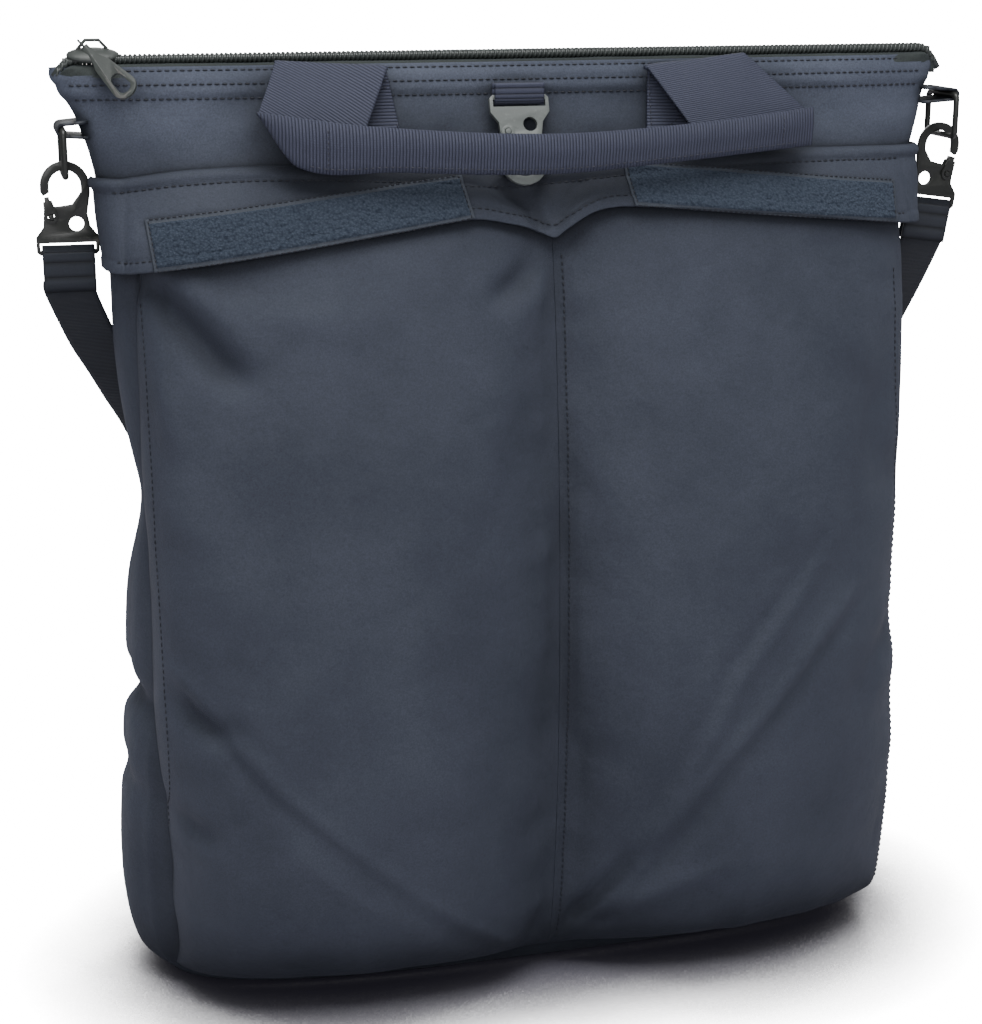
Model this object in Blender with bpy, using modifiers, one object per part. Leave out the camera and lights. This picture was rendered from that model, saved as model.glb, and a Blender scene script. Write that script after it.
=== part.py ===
"""Flyer's helmet bag: a flat-topped nylon bag with two full front pockets, web handles and a snap-on strap.

Metres, +Z up, the bag stands on its base at z = 0 and faces -Y. The origin is the centre of the base.
"""

from math import cos, exp, pi, radians, sin

import bmesh
import bpy
from mathutils import Matrix, Vector

# Cloth and gaps
WALL = 0.0014  # body cloth, two plies
THIN = 0.0010  # pocket and flap cloth, lining, tapes
WEB = 0.0014  # strap webbing
GAP = 0.0004  # between pieces that are sewn or rest together

# Body: half width and half depth at each height
BODY_TOP = 0.470
BODY_FOOT = 0.0022
BODY_PROFILE = (
    (0.000, 0.190, 0.050),
    (0.020, 0.209, 0.058),
    (0.060, 0.216, 0.061),
    (0.140, 0.212, 0.062),
    (0.250, 0.204, 0.056),
    (0.340, 0.204, 0.045),
    (0.385, 0.206, 0.036),
    (0.420, 0.211, 0.0265),
    (0.450, 0.220, 0.0170),
    (0.470, 0.227, 0.0125),
)
SQUARENESS = 3.0  # exponent of the plan's rounded rectangle
GUSSET_ANGLE = radians(24)
YOKE_FOOT = 0.4290
LINING_INSET = 0.0044

# Pockets and flap: depths are beyond the body's front, at each height
POCKET_FOOT = 0.012
POCKET_SIDE = 0.196
POCKET_SEAM = 0.0012
POCKET_STEP = 0.0026
POCKET_ROUNDING = 3.6  # exponent of the outer side's curve
VALLEY_SHARE = 0.56  # of the full depth, lost where the two pockets meet
VALLEY_WIDTH = 0.030
VALLEY_LIP = 0.0050
POCKET_DEPTH = (
    (0.012, 0.0005),
    (0.018, 0.018),
    (0.032, 0.031),
    (0.070, 0.042),
    (0.140, 0.044),
    (0.220, 0.039),
    (0.300, 0.029),
    (0.360, 0.020),
    (0.394, 0.0145),
    (0.412, 0.0115),
)
MOUTH_COVER = 0.007  # how far the flap's edge hangs below the pocket's mouth
FLAP_TOP = 0.4272
FLAP_EDGE = 0.4035
FLAP_SIDE = 0.199
FLAP_STEP = 0.0034
FLAP_SPREAD = 0.007  # the flap rounds off the pockets' steep sides by this much
PILE_SIZE = (0.152, 0.024)
PILE_PLACES = {"left": (-0.111, 0.4035, 7.0), "right": (0.1215, 0.4085, -5.6)}
HOOK_TAPE_RUN = (0.036, 0.166)
HOOK_TAPE_HEIGHT = 0.016

# Zipper
COIL_Z = 0.4762
COIL_RADIUS = 0.00145
COIL_SPREAD = 0.0022
COIL_ENDS = (-0.2185, 0.2225)
TAPE_ENDS = (-0.200, 0.214)
TAPE_THICKNESS = 0.0005
SLIDER_X = -0.2075
SLIDER_SIZE = Vector((0.018, 0.0085, 0.0010))
SLIDER_PLATE_Z = 0.00245  # middle of each plate, above and below the coils
BRIDGE_RISE = 0.0088
PULL_LENGTH = 0.041
PULL_DIRECTION = Vector((0.0205, -0.0285, -0.0220)).normalized()

# Carrying handles: wide webbing whose grip is folded lengthwise
HINGE_Y = 0.0206
HINGE_Z = 0.4752
LEG_CORNERS = {  # x and z of the two top corners, then of the two lower ones
    "left": ((-0.1230, 0.4760), (-0.0690, 0.4735), (-0.1330, 0.4400), (-0.0860, 0.4360)),
    "right": ((0.0620, 0.4725), (0.1140, 0.4765), (0.0830, 0.4360), (0.1400, 0.4400)),
}
GRIP_LINE = ((-0.136, 0.4418), (-0.070, 0.4360), (0.005, 0.4326), (0.075, 0.4360), (0.145, 0.4418))
LEG_TOP_Y = 0.0218
LEG_LEAN = 0.0185
GRIP_Y = 0.0440
GRIP_BOW = 0.0095
GRIP_HEIGHT = 0.021
GRIP_DEPTH = 0.0068
ANCHORS = {"left": -0.093, "right": 0.089}
ANCHOR_SIZE = (0.048, 0.039)

# Snap hooks, rings and tabs
HOOK_LENGTH = 0.045
HOOK_WIDTH = 0.030
HOOK_THICKNESS = 0.0026
EYE_RADIUS = 0.0076
EYE_RIM = 0.0042
SLOT_BAR = 0.0022
SLOT_HEIGHT = 0.0036
RIVET_RADIUS = 0.0014
RIVET_PLACE = (-0.0072, -0.0185)
RING_RADIUS = 0.0016
RING_WIDTH = 0.032
RING_HEIGHT = 0.0215
RING_CORNER = 0.0030
STRAP_WIDTH = 0.025
LOOP_LENGTH = 0.018
TAB_SPREAD = 0.0044  # each end of a side tab from the ring's height, where it meets the bag
# Each ring's place, how far its hook leans towards the bag, and the strap's way down behind the bag
SIDES = {
    "left": {
        "sign": -1, "x": 0.2240, "z": 0.4450, "lean": 0.0,
        "fall": (
            (0.2195, 0.018, 0.336),
            (0.2060, 0.040, 0.306),
            (0.1880, 0.062, 0.266),
            (0.1700, 0.080, 0.180),
        ),
    },
    "right": {
        "sign": 1, "x": 0.2365, "z": 0.4530, "lean": radians(8),
        "fall": (
            (0.2235, 0.016, 0.345),
            (0.2185, 0.034, 0.315),
            (0.2105, 0.052, 0.275),
            (0.1950, 0.074, 0.190),
        ),
    },
}
CENTRE_X = -0.004
CENTRE_Z = 0.4580
CENTRE_Y = -0.0225
CENTRE_LEAN = radians(-21)

# Shoulder strap: its bend from behind the bag on to the ground, and its run along the ground
STRAP_TURN = ((0.168, 0.098, 0.045), (0.162, 0.104, 0.016), (0.148, 0.110, 0.0040), (0.121, 0.112, 0.0030))
STRAP_GROUND_X = 0.1205
STRAP_GROUND_Y = 0.112
STRAP_GROUND_TOP = 0.0032
ADJUSTER_X = 0.025
ADJUSTER_SIZE = Vector((0.020, 0.033, 0.0050))
ADJUSTER_SLOT = Vector((0.030, 0.0275, 0.0026))


def clear_scene():
    for obj in list(bpy.data.objects):
        bpy.data.objects.remove(obj, do_unlink=True)


def collection(name):
    made = bpy.data.collections.new(name)
    bpy.context.scene.collection.children.link(made)
    return made


def material(name, colour, roughness, metallic=0.0):
    made = bpy.data.materials.new(name)
    made.use_nodes = True
    shader = made.node_tree.nodes["Principled BSDF"]
    shader.inputs["Base Color"].default_value = (*colour, 1.0)
    shader.inputs["Roughness"].default_value = roughness
    shader.inputs["Metallic"].default_value = metallic
    return made


clear_scene()
PARTS = collection("flight_bag")
CUTTERS = collection("cutters")
CLOTH = (0.048, 0.057, 0.082)
MATERIALS = {
    "shell": material("nylon_shell", CLOTH, 0.75),
    "lining": material("lining", (0.035, 0.045, 0.060), 0.8),
    "webbing": material("handle_webbing", (0.062, 0.068, 0.102), 0.6),
    "strap": material("strap_webbing", (0.014, 0.018, 0.026), 0.6),
    "pile": material("pile_tape", (0.036, 0.055, 0.090), 0.95),
    "tape": material("zipper_tape", (0.055, 0.070, 0.070), 0.85),
    "coil": material("zipper_coil", (0.018, 0.019, 0.020), 0.35),
    "green": material("green_enamel", (0.205, 0.225, 0.215), 0.45, 0.3),
    "black": material("black_enamel", (0.016, 0.017, 0.016), 0.4, 0.5),
}


def blend_keys(keys, at):
    """Smooth value between keyed rows (position, values...): a cubic through the rows."""
    if at <= keys[0][0]:
        return keys[0][1:]
    if at >= keys[-1][0]:
        return keys[-1][1:]
    index = next(i for i in range(len(keys) - 1) if keys[i + 1][0] >= at)
    low, high = keys[index], keys[index + 1]
    before, after = keys[max(index - 1, 0)], keys[min(index + 2, len(keys) - 1)]
    span = high[0] - low[0]
    t = (at - low[0]) / span
    found = []
    for i in range(1, len(low)):
        slope_low = (high[i] - before[i]) / (high[0] - before[0]) * span
        slope_high = (after[i] - low[i]) / (after[0] - low[0]) * span
        found.append(
            (2 * t**3 - 3 * t**2 + 1) * low[i]
            + (t**3 - 2 * t**2 + t) * slope_low
            + (3 * t**2 - 2 * t**3) * high[i]
            + (t**3 - t**2) * slope_high
        )
    return tuple(found)


def signed_power(value, power):
    return abs(value) ** power if value >= 0 else -(abs(value) ** power)


def body_point(angle, z, inset=0.0):
    half_width, half_depth = blend_keys(BODY_PROFILE, z)
    power = 2.0 / SQUARENESS
    x = (half_width - inset) * signed_power(cos(angle), power)
    y = (half_depth - inset) * signed_power(sin(angle), power)
    return Vector((x, y, z))


def front_depth(x, z):
    """How far the body's front stands out from the middle plane."""
    half_width, half_depth = blend_keys(BODY_PROFILE, z)
    share = min(abs(x) / half_width, 1.0)
    return half_depth * (1.0 - share**SQUARENESS) ** (1.0 / SQUARENESS)


def finish(obj, slot):
    obj.data.materials.clear()
    obj.data.materials.append(MATERIALS[slot])
    return obj


def new_object(name, data, slot=None, place=PARTS):
    obj = bpy.data.objects.new(name, data)
    place.objects.link(obj)
    return finish(obj, slot) if slot else obj


def mesh_object(name, bm, slot=None, place=PARTS):
    mesh = bpy.data.meshes.new(name)
    bm.to_mesh(mesh)
    bm.free()
    return new_object(name, mesh, slot, place)


def smooth(obj):
    obj.data.shade_smooth()
    obj.data.set_sharp_from_angle(angle=radians(40))
    return obj


def sheet(name, place, across, along, thickness, slot, where=PARTS):
    """A cloth piece: place(u, v) gives its outer face, and the thickness goes inwards."""
    bm = bmesh.new()
    bmesh.ops.create_grid(bm, x_segments=across, y_segments=along, size=0.5)
    for vert in bm.verts:
        vert.co = place(vert.co.x + 0.5, vert.co.y + 0.5)
    obj = smooth(mesh_object(name, bm, slot, where))
    solidify = obj.modifiers.new("thickness", "SOLIDIFY")
    solidify.thickness = thickness
    solidify.offset = -1.0
    solidify.use_even_offset = True
    return obj


def route(points, t):
    """Point at share t of a smooth line through the points."""
    keys = tuple((i / (len(points) - 1), *point) for i, point in enumerate(points))
    return Vector(blend_keys(keys, t))


def ribbon(name, points, across, width, along, thickness, slot, wide=2):
    """Webbing along a smooth line. across(t) is the direction of its width at share t."""

    def place(u, v):
        return route(points, v) + across(v) * (u - 0.5) * width

    return sheet(name, place, wide, along, thickness, slot)


def rod(name, points, radius, slot, closed=False, sides=2):
    curve = bpy.data.curves.new(name, "CURVE")
    curve.dimensions = "3D"
    curve.bevel_depth = radius
    curve.bevel_resolution = sides
    curve.use_fill_caps = not closed
    spline = curve.splines.new("POLY")
    spline.points.add(len(points) - 1)
    for target, point in zip(spline.points, points):
        target.co = (*point, 1.0)
    spline.use_cyclic_u = closed
    return new_object(name, curve, slot)


def arc(centre, radius, start, end, steps):
    """Points on an arc, in degrees."""
    angles = [radians(start + (end - start) * i / steps) for i in range(steps + 1)]
    return [(centre[0] + radius * cos(a), centre[1] + radius * sin(a)) for a in angles]


def plate(name, outlines, thickness, slot, where=PARTS):
    """A flat plate in its own XY plane: the first outline is its edge, and the others are holes."""
    curve = bpy.data.curves.new(name, "CURVE")
    curve.dimensions = "2D"
    curve.fill_mode = "BOTH"
    curve.extrude = thickness / 2
    for outline in outlines:
        spline = curve.splines.new("POLY")
        spline.points.add(len(outline) - 1)
        for target, point in zip(spline.points, outline):
            target.co = (point[0], point[1], 0.0, 1.0)
        spline.use_cyclic_u = True
    return new_object(name, curve, slot, where)


def as_mesh(curve_object):
    """The same object as a mesh, with its caps joined on, so that it can be cut or joined."""
    bpy.context.view_layer.update()
    graph = bpy.context.evaluated_depsgraph_get()
    mesh = bpy.data.meshes.new_from_object(curve_object.evaluated_get(graph))
    bm = bmesh.new()
    bm.from_mesh(mesh)
    bmesh.ops.remove_doubles(bm, verts=bm.verts, dist=1e-6)
    bm.to_mesh(mesh)
    bm.free()
    name = curve_object.name
    made = bpy.data.objects.new(name + "_mesh", mesh)
    curve_object.users_collection[0].objects.link(made)
    made.matrix_world = curve_object.matrix_world.copy()
    bpy.data.objects.remove(curve_object, do_unlink=True)
    made.name = name
    return made


def block(name, size, centre, slot=None, where=PARTS, turn=0.0):
    """A box, turned about its own X axis by turn degrees."""
    bm = bmesh.new()
    bmesh.ops.create_cube(bm, size=1.0)
    bmesh.ops.scale(bm, vec=size, verts=bm.verts)
    obj = mesh_object(name, bm, slot, where)
    obj.location = centre
    obj.rotation_euler = (radians(turn), 0.0, 0.0)
    return obj


def drum(name, radius, length, centre, slot=None, where=PARTS, segments=12):
    """A short cylinder along Y."""
    bm = bmesh.new()
    bmesh.ops.create_cone(
        bm, cap_ends=True, segments=segments, radius1=radius, radius2=radius, depth=length
    )
    bmesh.ops.rotate(bm, cent=(0, 0, 0), matrix=Matrix.Rotation(radians(90), 3, "X"), verts=bm.verts)
    obj = mesh_object(name, bm, slot, where)
    obj.location = centre
    return obj


def combine(target, other, operation="UNION"):
    """Joins or cuts target with other, which becomes a hidden helper."""
    CUTTERS.objects.link(other)
    PARTS.objects.unlink(other)
    other.hide_render = True
    other.display_type = "WIRE"
    modifier = target.modifiers.new(operation.lower(), "BOOLEAN")
    modifier.operation = operation
    modifier.object = other
    return target


def pivot(name, location, turn=0.0, parent=None):
    """An empty on a joint's axis, turned about X."""
    empty = bpy.data.objects.new(name, None)
    empty.empty_display_size = 0.02
    PARTS.objects.link(empty)
    empty.location = location
    empty.rotation_euler = (turn, 0.0, 0.0)
    empty.parent = parent
    return empty


def hang(pieces, empty):
    """Parents pieces that are modelled in world place to an empty, without moving them."""
    bpy.context.view_layer.update()
    for piece in pieces:
        piece.parent = empty
        piece.matrix_parent_inverse = empty.matrix_world.inverted()


def pocket_profile(x):
    """Share of the full depth at x: steep at the outer side, slower towards the centre seam."""
    middle = (POCKET_SIDE + POCKET_SEAM) / 2
    reach = (POCKET_SIDE - POCKET_SEAM) / 2
    share = min((abs(x) - middle) / reach, 1.0)
    if share > 0:
        return (1.0 - share**POCKET_ROUNDING) ** (1.0 / POCKET_ROUNDING)
    lip = min(max((abs(x) - POCKET_SEAM) / VALLEY_LIP, 0.0), 1.0)
    return lip**0.5 * (1.0 - VALLEY_SHARE * exp(-((abs(x) / VALLEY_WIDTH) ** 1.3)))


def flap_edge(x):
    """Height of the flap's free edge: an arch that falls to the sides, with a V at the centre seam."""
    fall = 0.0235 * (abs(x) / FLAP_SIDE) ** 1.6
    notch = 0.0115 * max(1.0 - abs(x) / 0.030, 0.0) ** 1.5
    return FLAP_EDGE - fall - notch + 0.018 * x


def pocket_mouth(x):
    return flap_edge(x) + MOUTH_COVER


def pocket_offset(x, z):
    return POCKET_STEP + blend_keys(POCKET_DEPTH, z)[0] * pocket_profile(x)


def flap_offset(x, z):
    """Offset of the flap's outer face: close to the body at the ridge, over the pockets at the free edge."""
    spread = max(pocket_profile(abs(x) - FLAP_SPREAD), pocket_profile(abs(x) + FLAP_SPREAD))
    low = POCKET_STEP + blend_keys(POCKET_DEPTH, flap_edge(x))[0] * spread + 0.0034
    share = (z - flap_edge(x)) / (FLAP_TOP - flap_edge(x))
    return low + (FLAP_STEP - low) * min(max(share, 0.0), 1.0) ** 1.4


def front_at(x, z, offset):
    return Vector((x, -front_depth(x, z) - offset, z))


def mirrored(place):
    """The same face at the back: seen from behind, with its outer side to +Y."""

    def behind(u, v):
        point = place(u, v)
        return Vector((-point.x, -point.y, point.z))

    return behind


def build_body():
    edge = cos(GUSSET_ANGLE + radians(0.3)) ** (2.0 / SQUARENESS)

    def panel(u, v):
        z = BODY_FOOT + (BODY_TOP - BODY_FOOT) * v**1.1
        x = blend_keys(BODY_PROFILE, z)[0] * edge * (2 * u - 1)
        return front_at(x, z, 0.0)

    def gusset(turn):
        def place(u, v):
            z = BODY_FOOT + (BODY_TOP - BODY_FOOT) * v**1.1
            reach = GUSSET_ANGLE - radians(0.3)
            return body_point(turn + reach * (2 * u - 1), z)

        return place

    sheet("front_panel", panel, 14, 22, WALL, "shell")
    sheet("back_panel", mirrored(panel), 14, 22, WALL, "shell")
    sheet("gusset_left", gusset(pi), 6, 22, WALL, "shell")
    sheet("gusset_right", gusset(0.0), 6, 22, WALL, "shell")

    outline = [body_point(2 * pi * i / 40, 0.0) for i in range(40)]
    base = plate("base_panel", [[(point.x, point.y) for point in outline]], 0.0016, "shell")
    base.location = (0.0, 0.0, 0.0008)

    def lining(u, v):
        z = 0.014 + 0.440 * v
        half_width, half_depth = (value - LINING_INSET for value in blend_keys(BODY_PROFILE, z))
        share = 0.996 * sin(pi / 2 * (2 * u - 1))
        y = half_depth * (1.0 - abs(share) ** SQUARENESS) ** (1.0 / SQUARENESS)
        return Vector((half_width * share, -y, z))

    sheet("lining_front", lining, 14, 14, THIN, "lining")
    sheet("lining_back", mirrored(lining), 14, 14, THIN, "lining")

    def yoke(u, v):
        z = YOKE_FOOT + (BODY_TOP - 0.003 - YOKE_FOOT) * v
        x = blend_keys(BODY_PROFILE, z)[0] * edge * (2 * u - 1)
        return front_at(x, z, THIN + 2 * GAP)

    sheet("front_yoke", yoke, 14, 4, THIN, "shell")
    sheet("back_yoke", mirrored(yoke), 14, 4, THIN, "shell")


def build_pockets():
    def pocket(sign):
        def place(u, v):
            middle = (POCKET_SIDE + POCKET_SEAM) / 2
            reach = (POCKET_SIDE - POCKET_SEAM) / 2
            x = sign * middle + reach * sin(pi / 2 * (2 * u - 1))
            z = POCKET_FOOT + (pocket_mouth(x) - POCKET_FOOT) * v**1.35
            return front_at(x, z, pocket_offset(x, z))

        return place

    def flap(u, v):
        x = FLAP_SIDE * (2 * u - 1)
        z = flap_edge(x) + (FLAP_TOP - flap_edge(x)) * v
        return front_at(x, z, flap_offset(x, z))

    def pile(side):
        centre_x, centre_z, tilt = PILE_PLACES[side]
        turn = radians(tilt)

        def place(u, v):
            along = (u - 0.5) * PILE_SIZE[0]
            up = (v - 0.5) * PILE_SIZE[1]
            x = centre_x + along * cos(turn) - up * sin(turn)
            z = centre_z + along * sin(turn) + up * cos(turn)
            return front_at(x, z, flap_offset(x, z) + THIN + 3 * GAP)

        return place

    def hook_tape(sign):
        def place(u, v):
            start, end = HOOK_TAPE_RUN
            x = sign * start + (end - start) * (u if sign > 0 else u - 1)
            z = pocket_mouth(x) - 0.003 - HOOK_TAPE_HEIGHT * (1 - v)
            return front_at(x, z, pocket_offset(x, z) - THIN - 3 * GAP)

        return place

    for side, parts in SIDES.items():
        sheet(f"pocket_{side}", pocket(parts["sign"]), 14, 14, THIN, "shell")
        sheet(f"pile_tape_{side}", pile(side), 14, 3, THIN, "pile")
        sheet(f"hook_tape_{side}", hook_tape(parts["sign"]), 6, 2, THIN * 0.8, "pile")
    sheet("pocket_flap", flap, 32, 4, THIN, "shell")


def build_zipper():
    for side, sign in (("front", -1), ("back", 1)):
        ends = [(x, sign * COIL_SPREAD, COIL_Z) for x in COIL_ENDS]
        rod(f"zipper_coil_{side}", ends, COIL_RADIUS, "coil")

    def tape(u, v):
        x = TAPE_ENDS[0] + (TAPE_ENDS[1] - TAPE_ENDS[0]) * u
        hem = front_depth(x, BODY_TOP - 0.004) - WALL - 2 * GAP
        top = COIL_Z + TAPE_THICKNESS / 2
        section = ((hem, 0.4600), (hem, 0.4690), (0.0066, 0.4730), (0.0066, top), (0.0040, top))
        depth, z = section[round(v * (len(section) - 1))]
        return Vector((x, -depth, z))

    sheet("zipper_tape_front", tape, 12, 4, TAPE_THICKNESS, "tape")
    sheet("zipper_tape_back", mirrored_in_place(tape), 12, 4, TAPE_THICKNESS, "tape")
    stops = (("zipper_stop_left", COIL_ENDS[0] - 0.0020), ("zipper_stop_right", COIL_ENDS[1] + 0.0020))
    for name, x in stops:
        block(name, (0.0026, 0.0068, 0.0032), (x, 0.0, COIL_Z), "coil")

    slider = block("zipper_slider", SLIDER_SIZE, (0.0, 0.0, 0.0), "green")
    slider.location = (SLIDER_X, 0.0, COIL_Z + SLIDER_PLATE_Z)
    lower = block("slider_lower_plate", SLIDER_SIZE, slider.location - Vector((0, 0, 2 * SLIDER_PLATE_Z)))
    neck_size = (0.0030, 0.0008, 2 * SLIDER_PLATE_Z)
    neck = block("slider_neck", neck_size, (SLIDER_X - 0.0072, 0.0, COIL_Z))
    half = SLIDER_SIZE.x / 2 - 0.0022
    arch = [(-half, 0.0), (-half, 0.0034), (-half + 0.0036, 0.0074)]
    arch += [(half - 0.0036, 0.0074), (half, 0.0034), (half, 0.0)]
    points = [(SLIDER_X + x, 0.0, slider.location.z + rise) for x, rise in arch]
    bridge = as_mesh(rod("slider_bridge", points, 0.0009, "green"))
    for piece in (lower, neck, bridge):
        combine(slider, piece)

    eye_place = Vector((SLIDER_X - half + 0.0020, 0.0, slider.location.z + 0.0056))
    across = Vector((-PULL_DIRECTION.z, 0.0, PULL_DIRECTION.x)).normalized()
    normal = across.cross(-PULL_DIRECTION)
    frame = Matrix((across, -PULL_DIRECTION, normal)).transposed().to_4x4()
    frame.translation = eye_place
    slide = pivot("slider_place", slider.location)
    swing = pivot("pull_pivot", eye_place)
    tip = 0.0062
    edge = [(0.0018, -0.0022), (-0.0018, -0.0022), (-0.0020, -0.0110), (-0.0042, -0.0170)]
    edge += arc((0.0, tip - PULL_LENGTH), tip, 180, 360, 10)
    edge += [(0.0042, -0.0170), (0.0020, -0.0110)]
    hole = arc((0.0, 0.0060 - PULL_LENGTH), 0.0034, 180, 360, 8)
    hole += arc((0.0, 0.0120 - PULL_LENGTH), 0.0030, 0, 180, 8)
    pull = plate("zipper_pull_tab", [edge, hole], 0.0014, "green")
    pull.matrix_world = frame
    pull = as_mesh(pull)
    turns = [2 * pi * i / 14 for i in range(14)]
    eye_line = [(0.0, 0.0024 * cos(a), 0.0024 * sin(a)) for a in turns]
    eye = rod("pull_eye", eye_line, 0.0006, "green", closed=True)
    eye.matrix_world = frame
    combine(pull, as_mesh(eye))
    hang([slider, lower, neck, bpy.data.objects["slider_bridge"]], slide)
    hang([pull, bpy.data.objects["pull_eye"]], swing)


def mirrored_in_place(place):
    """The same cloth behind the middle plane, at the same x, with its outer side to +Y."""

    def behind(u, v):
        point = place(1 - u, v)
        return Vector((point.x, -point.y, point.z))

    return behind


def build_handle(name, back):
    """One handle and its two sewn anchors. The back one is the same handle turned to +Y."""
    side_of = mirrored if back else (lambda place: place)

    def leg(side):
        top_left, top_right, low_left, low_right = LEG_CORNERS[side]

        def place(u, v):
            top_x = top_left[0] + (top_right[0] - top_left[0]) * u
            top_z = top_left[1] + (top_right[1] - top_left[1]) * u
            low_x = low_left[0] + (low_right[0] - low_left[0]) * u
            low_z = low_left[1] + (low_right[1] - low_left[1]) * u
            x = low_x + (top_x - low_x) * v
            return Vector((x, -LEG_TOP_Y - LEG_LEAN * (1 - v) ** 0.8, low_z + (top_z - low_z) * v))

        return place

    def grip(u, v):
        x, z = route(GRIP_LINE, u)[:2]
        crown = 0.0012 * (1 - (2 * v - 1) ** 2)
        bow = GRIP_BOW * (1 - (2 * u - 1) ** 2)
        return Vector((x, -GRIP_Y - bow - crown, z + GRIP_HEIGHT * (v - 0.5)))

    handle = sheet(name, side_of(grip), 16, 4, GRIP_DEPTH, "webbing")
    pieces = [handle]
    for side in LEG_CORNERS:
        piece = sheet(f"{name}_{side}_leg", side_of(leg(side)), 4, 4, WEB, "webbing")
        combine(handle, piece)
        pieces.append(piece)
    for side, centre_x in ANCHORS.items():

        def anchor(u, v, centre_x=centre_x):
            x = centre_x + ANCHOR_SIZE[0] * (u - 0.5)
            z = HINGE_Z - 0.0034 - ANCHOR_SIZE[1] * (1 - v)
            return front_at(x, z, THIN + WEB + 5 * GAP)

        sheet(f"{name}_anchor_{side}", side_of(anchor), 4, 5, WEB, "webbing")
    hinge = pivot(f"{name}_pivot", (0.0, HINGE_Y if back else -HINGE_Y, HINGE_Z))
    hang(pieces, hinge)


def hook_outlines(mirror):
    """Edge of a flat snap hook in its plane, its slot end at y = 0 and its eye at the far end, then the slot."""
    half = HOOK_WIDTH / 2
    outer = EYE_RADIUS + EYE_RIM
    eye_y = -HOOK_LENGTH + outer
    edge = [(-half, -0.0015), (-half + 0.0015, 0.0), (half - 0.0015, 0.0), (half, -0.0015), (half, -0.0085)]
    edge += [(0.0112, -0.0135), (0.0100, -0.0200), (outer, eye_y + 0.0035)]
    edge += arc((0.0, eye_y), outer, 0, -180, 14)
    edge += [(-outer, eye_y + 0.0025), (-outer + 0.0012, eye_y + 0.0046), (-EYE_RADIUS, eye_y + 0.0030)]
    edge += arc((0.0, eye_y), EYE_RADIUS, -180, 0, 12)
    edge += [(EYE_RADIUS, eye_y + 0.0030), (0.0030, eye_y + 0.0090), (-0.0030, eye_y + 0.0098)]
    edge += [(-0.0105, eye_y + 0.0102), (-0.0112, -0.0135), (-half, -0.0085)]
    slot_half = STRAP_WIDTH / 2 + 0.0008
    top = -SLOT_BAR
    bottom = top - SLOT_HEIGHT
    slot = [(-slot_half, top), (slot_half, top), (slot_half, bottom), (-slot_half, bottom)]
    hole = arc((0.0046, -0.0148), 0.0036, 0, 360, 14)[:-1]
    rivet_hole = arc(RIVET_PLACE, RIVET_RADIUS + 0.0003, 0, 360, 12)[:-1]
    return [[(mirror * x, y) for x, y in outline] for outline in (edge, slot, hole, rivet_hole)]


def build_hook(name, place, turn, lean, mirror, slot_name):
    """A snap hook of three pieces in the XZ plane at place (its slot end): frame, sprung gate and rivet."""
    stand = Matrix.Translation(place) @ Matrix.Rotation(lean, 4, "X") @ Matrix.Rotation(turn, 4, "Y")
    flat = stand @ Matrix.Rotation(radians(90), 4, "X")
    frame = plate(f"{name}_frame", hook_outlines(mirror), HOOK_THICKNESS, slot_name)
    frame.matrix_world = flat

    eye_y = -HOOK_LENGTH + EYE_RADIUS + EYE_RIM
    rivet_x, rivet_y = mirror * RIVET_PLACE[0], RIVET_PLACE[1]
    tip = Vector((mirror * (-EYE_RADIUS - 0.0014), 0.0, eye_y + 0.0054))
    root = Vector((rivet_x, 0.0, rivet_y))
    ear_gap = HOOK_THICKNESS / 2 + 0.0003
    ear = 0.0008
    length = (root - tip).length
    heading = Matrix.Rotation(-turn_towards(tip - root), 4, "Y")
    pieces = []
    for index, sign in enumerate((-1, 1)):
        outline = arc((0.0, 0.0), 0.0032, 90, 270, 8) + [(length * 0.78, -0.0022), (length * 0.78, 0.0022)]
        hole = arc((0.0, 0.0), RIVET_RADIUS + 0.0003, 0, 360, 12)[:-1]
        piece = plate(f"{name}_gate_ear_{index}", [outline, hole], ear, slot_name)
        shift = Matrix.Translation(root + Vector((0.0, sign * (ear_gap + ear / 2), 0.0)))
        piece.matrix_world = stand @ shift @ heading @ Matrix.Rotation(radians(90), 4, "X")
        pieces.append(as_mesh(piece))
    bar_length = length - 0.0062
    bar = block(f"{name}_gate", (bar_length, 2 * (ear_gap + ear), 0.0024), (0.0, 0.0, 0.0), slot_name)
    bar_shift = Matrix.Translation((length - bar_length / 2, 0, 0))
    bar.matrix_world = stand @ Matrix.Translation(root) @ heading @ bar_shift
    for piece in pieces:
        combine(bar, piece)
    rivet_place = stand @ root
    rivet = drum(f"{name}_rivet", RIVET_RADIUS, 2 * (ear_gap + ear) + 0.0012, (0, 0, 0), slot_name)
    rivet.matrix_world = Matrix.Translation(rivet_place) @ Matrix.Rotation(lean, 4, "X")
    return frame, [bar, *pieces], rivet, rivet_place


def turn_towards(direction):
    """Angle of a direction in the XZ plane, from +X towards +Z."""
    return Vector((1.0, 0.0)).angle_signed(Vector((direction.x, direction.z))) * -1.0


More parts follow.
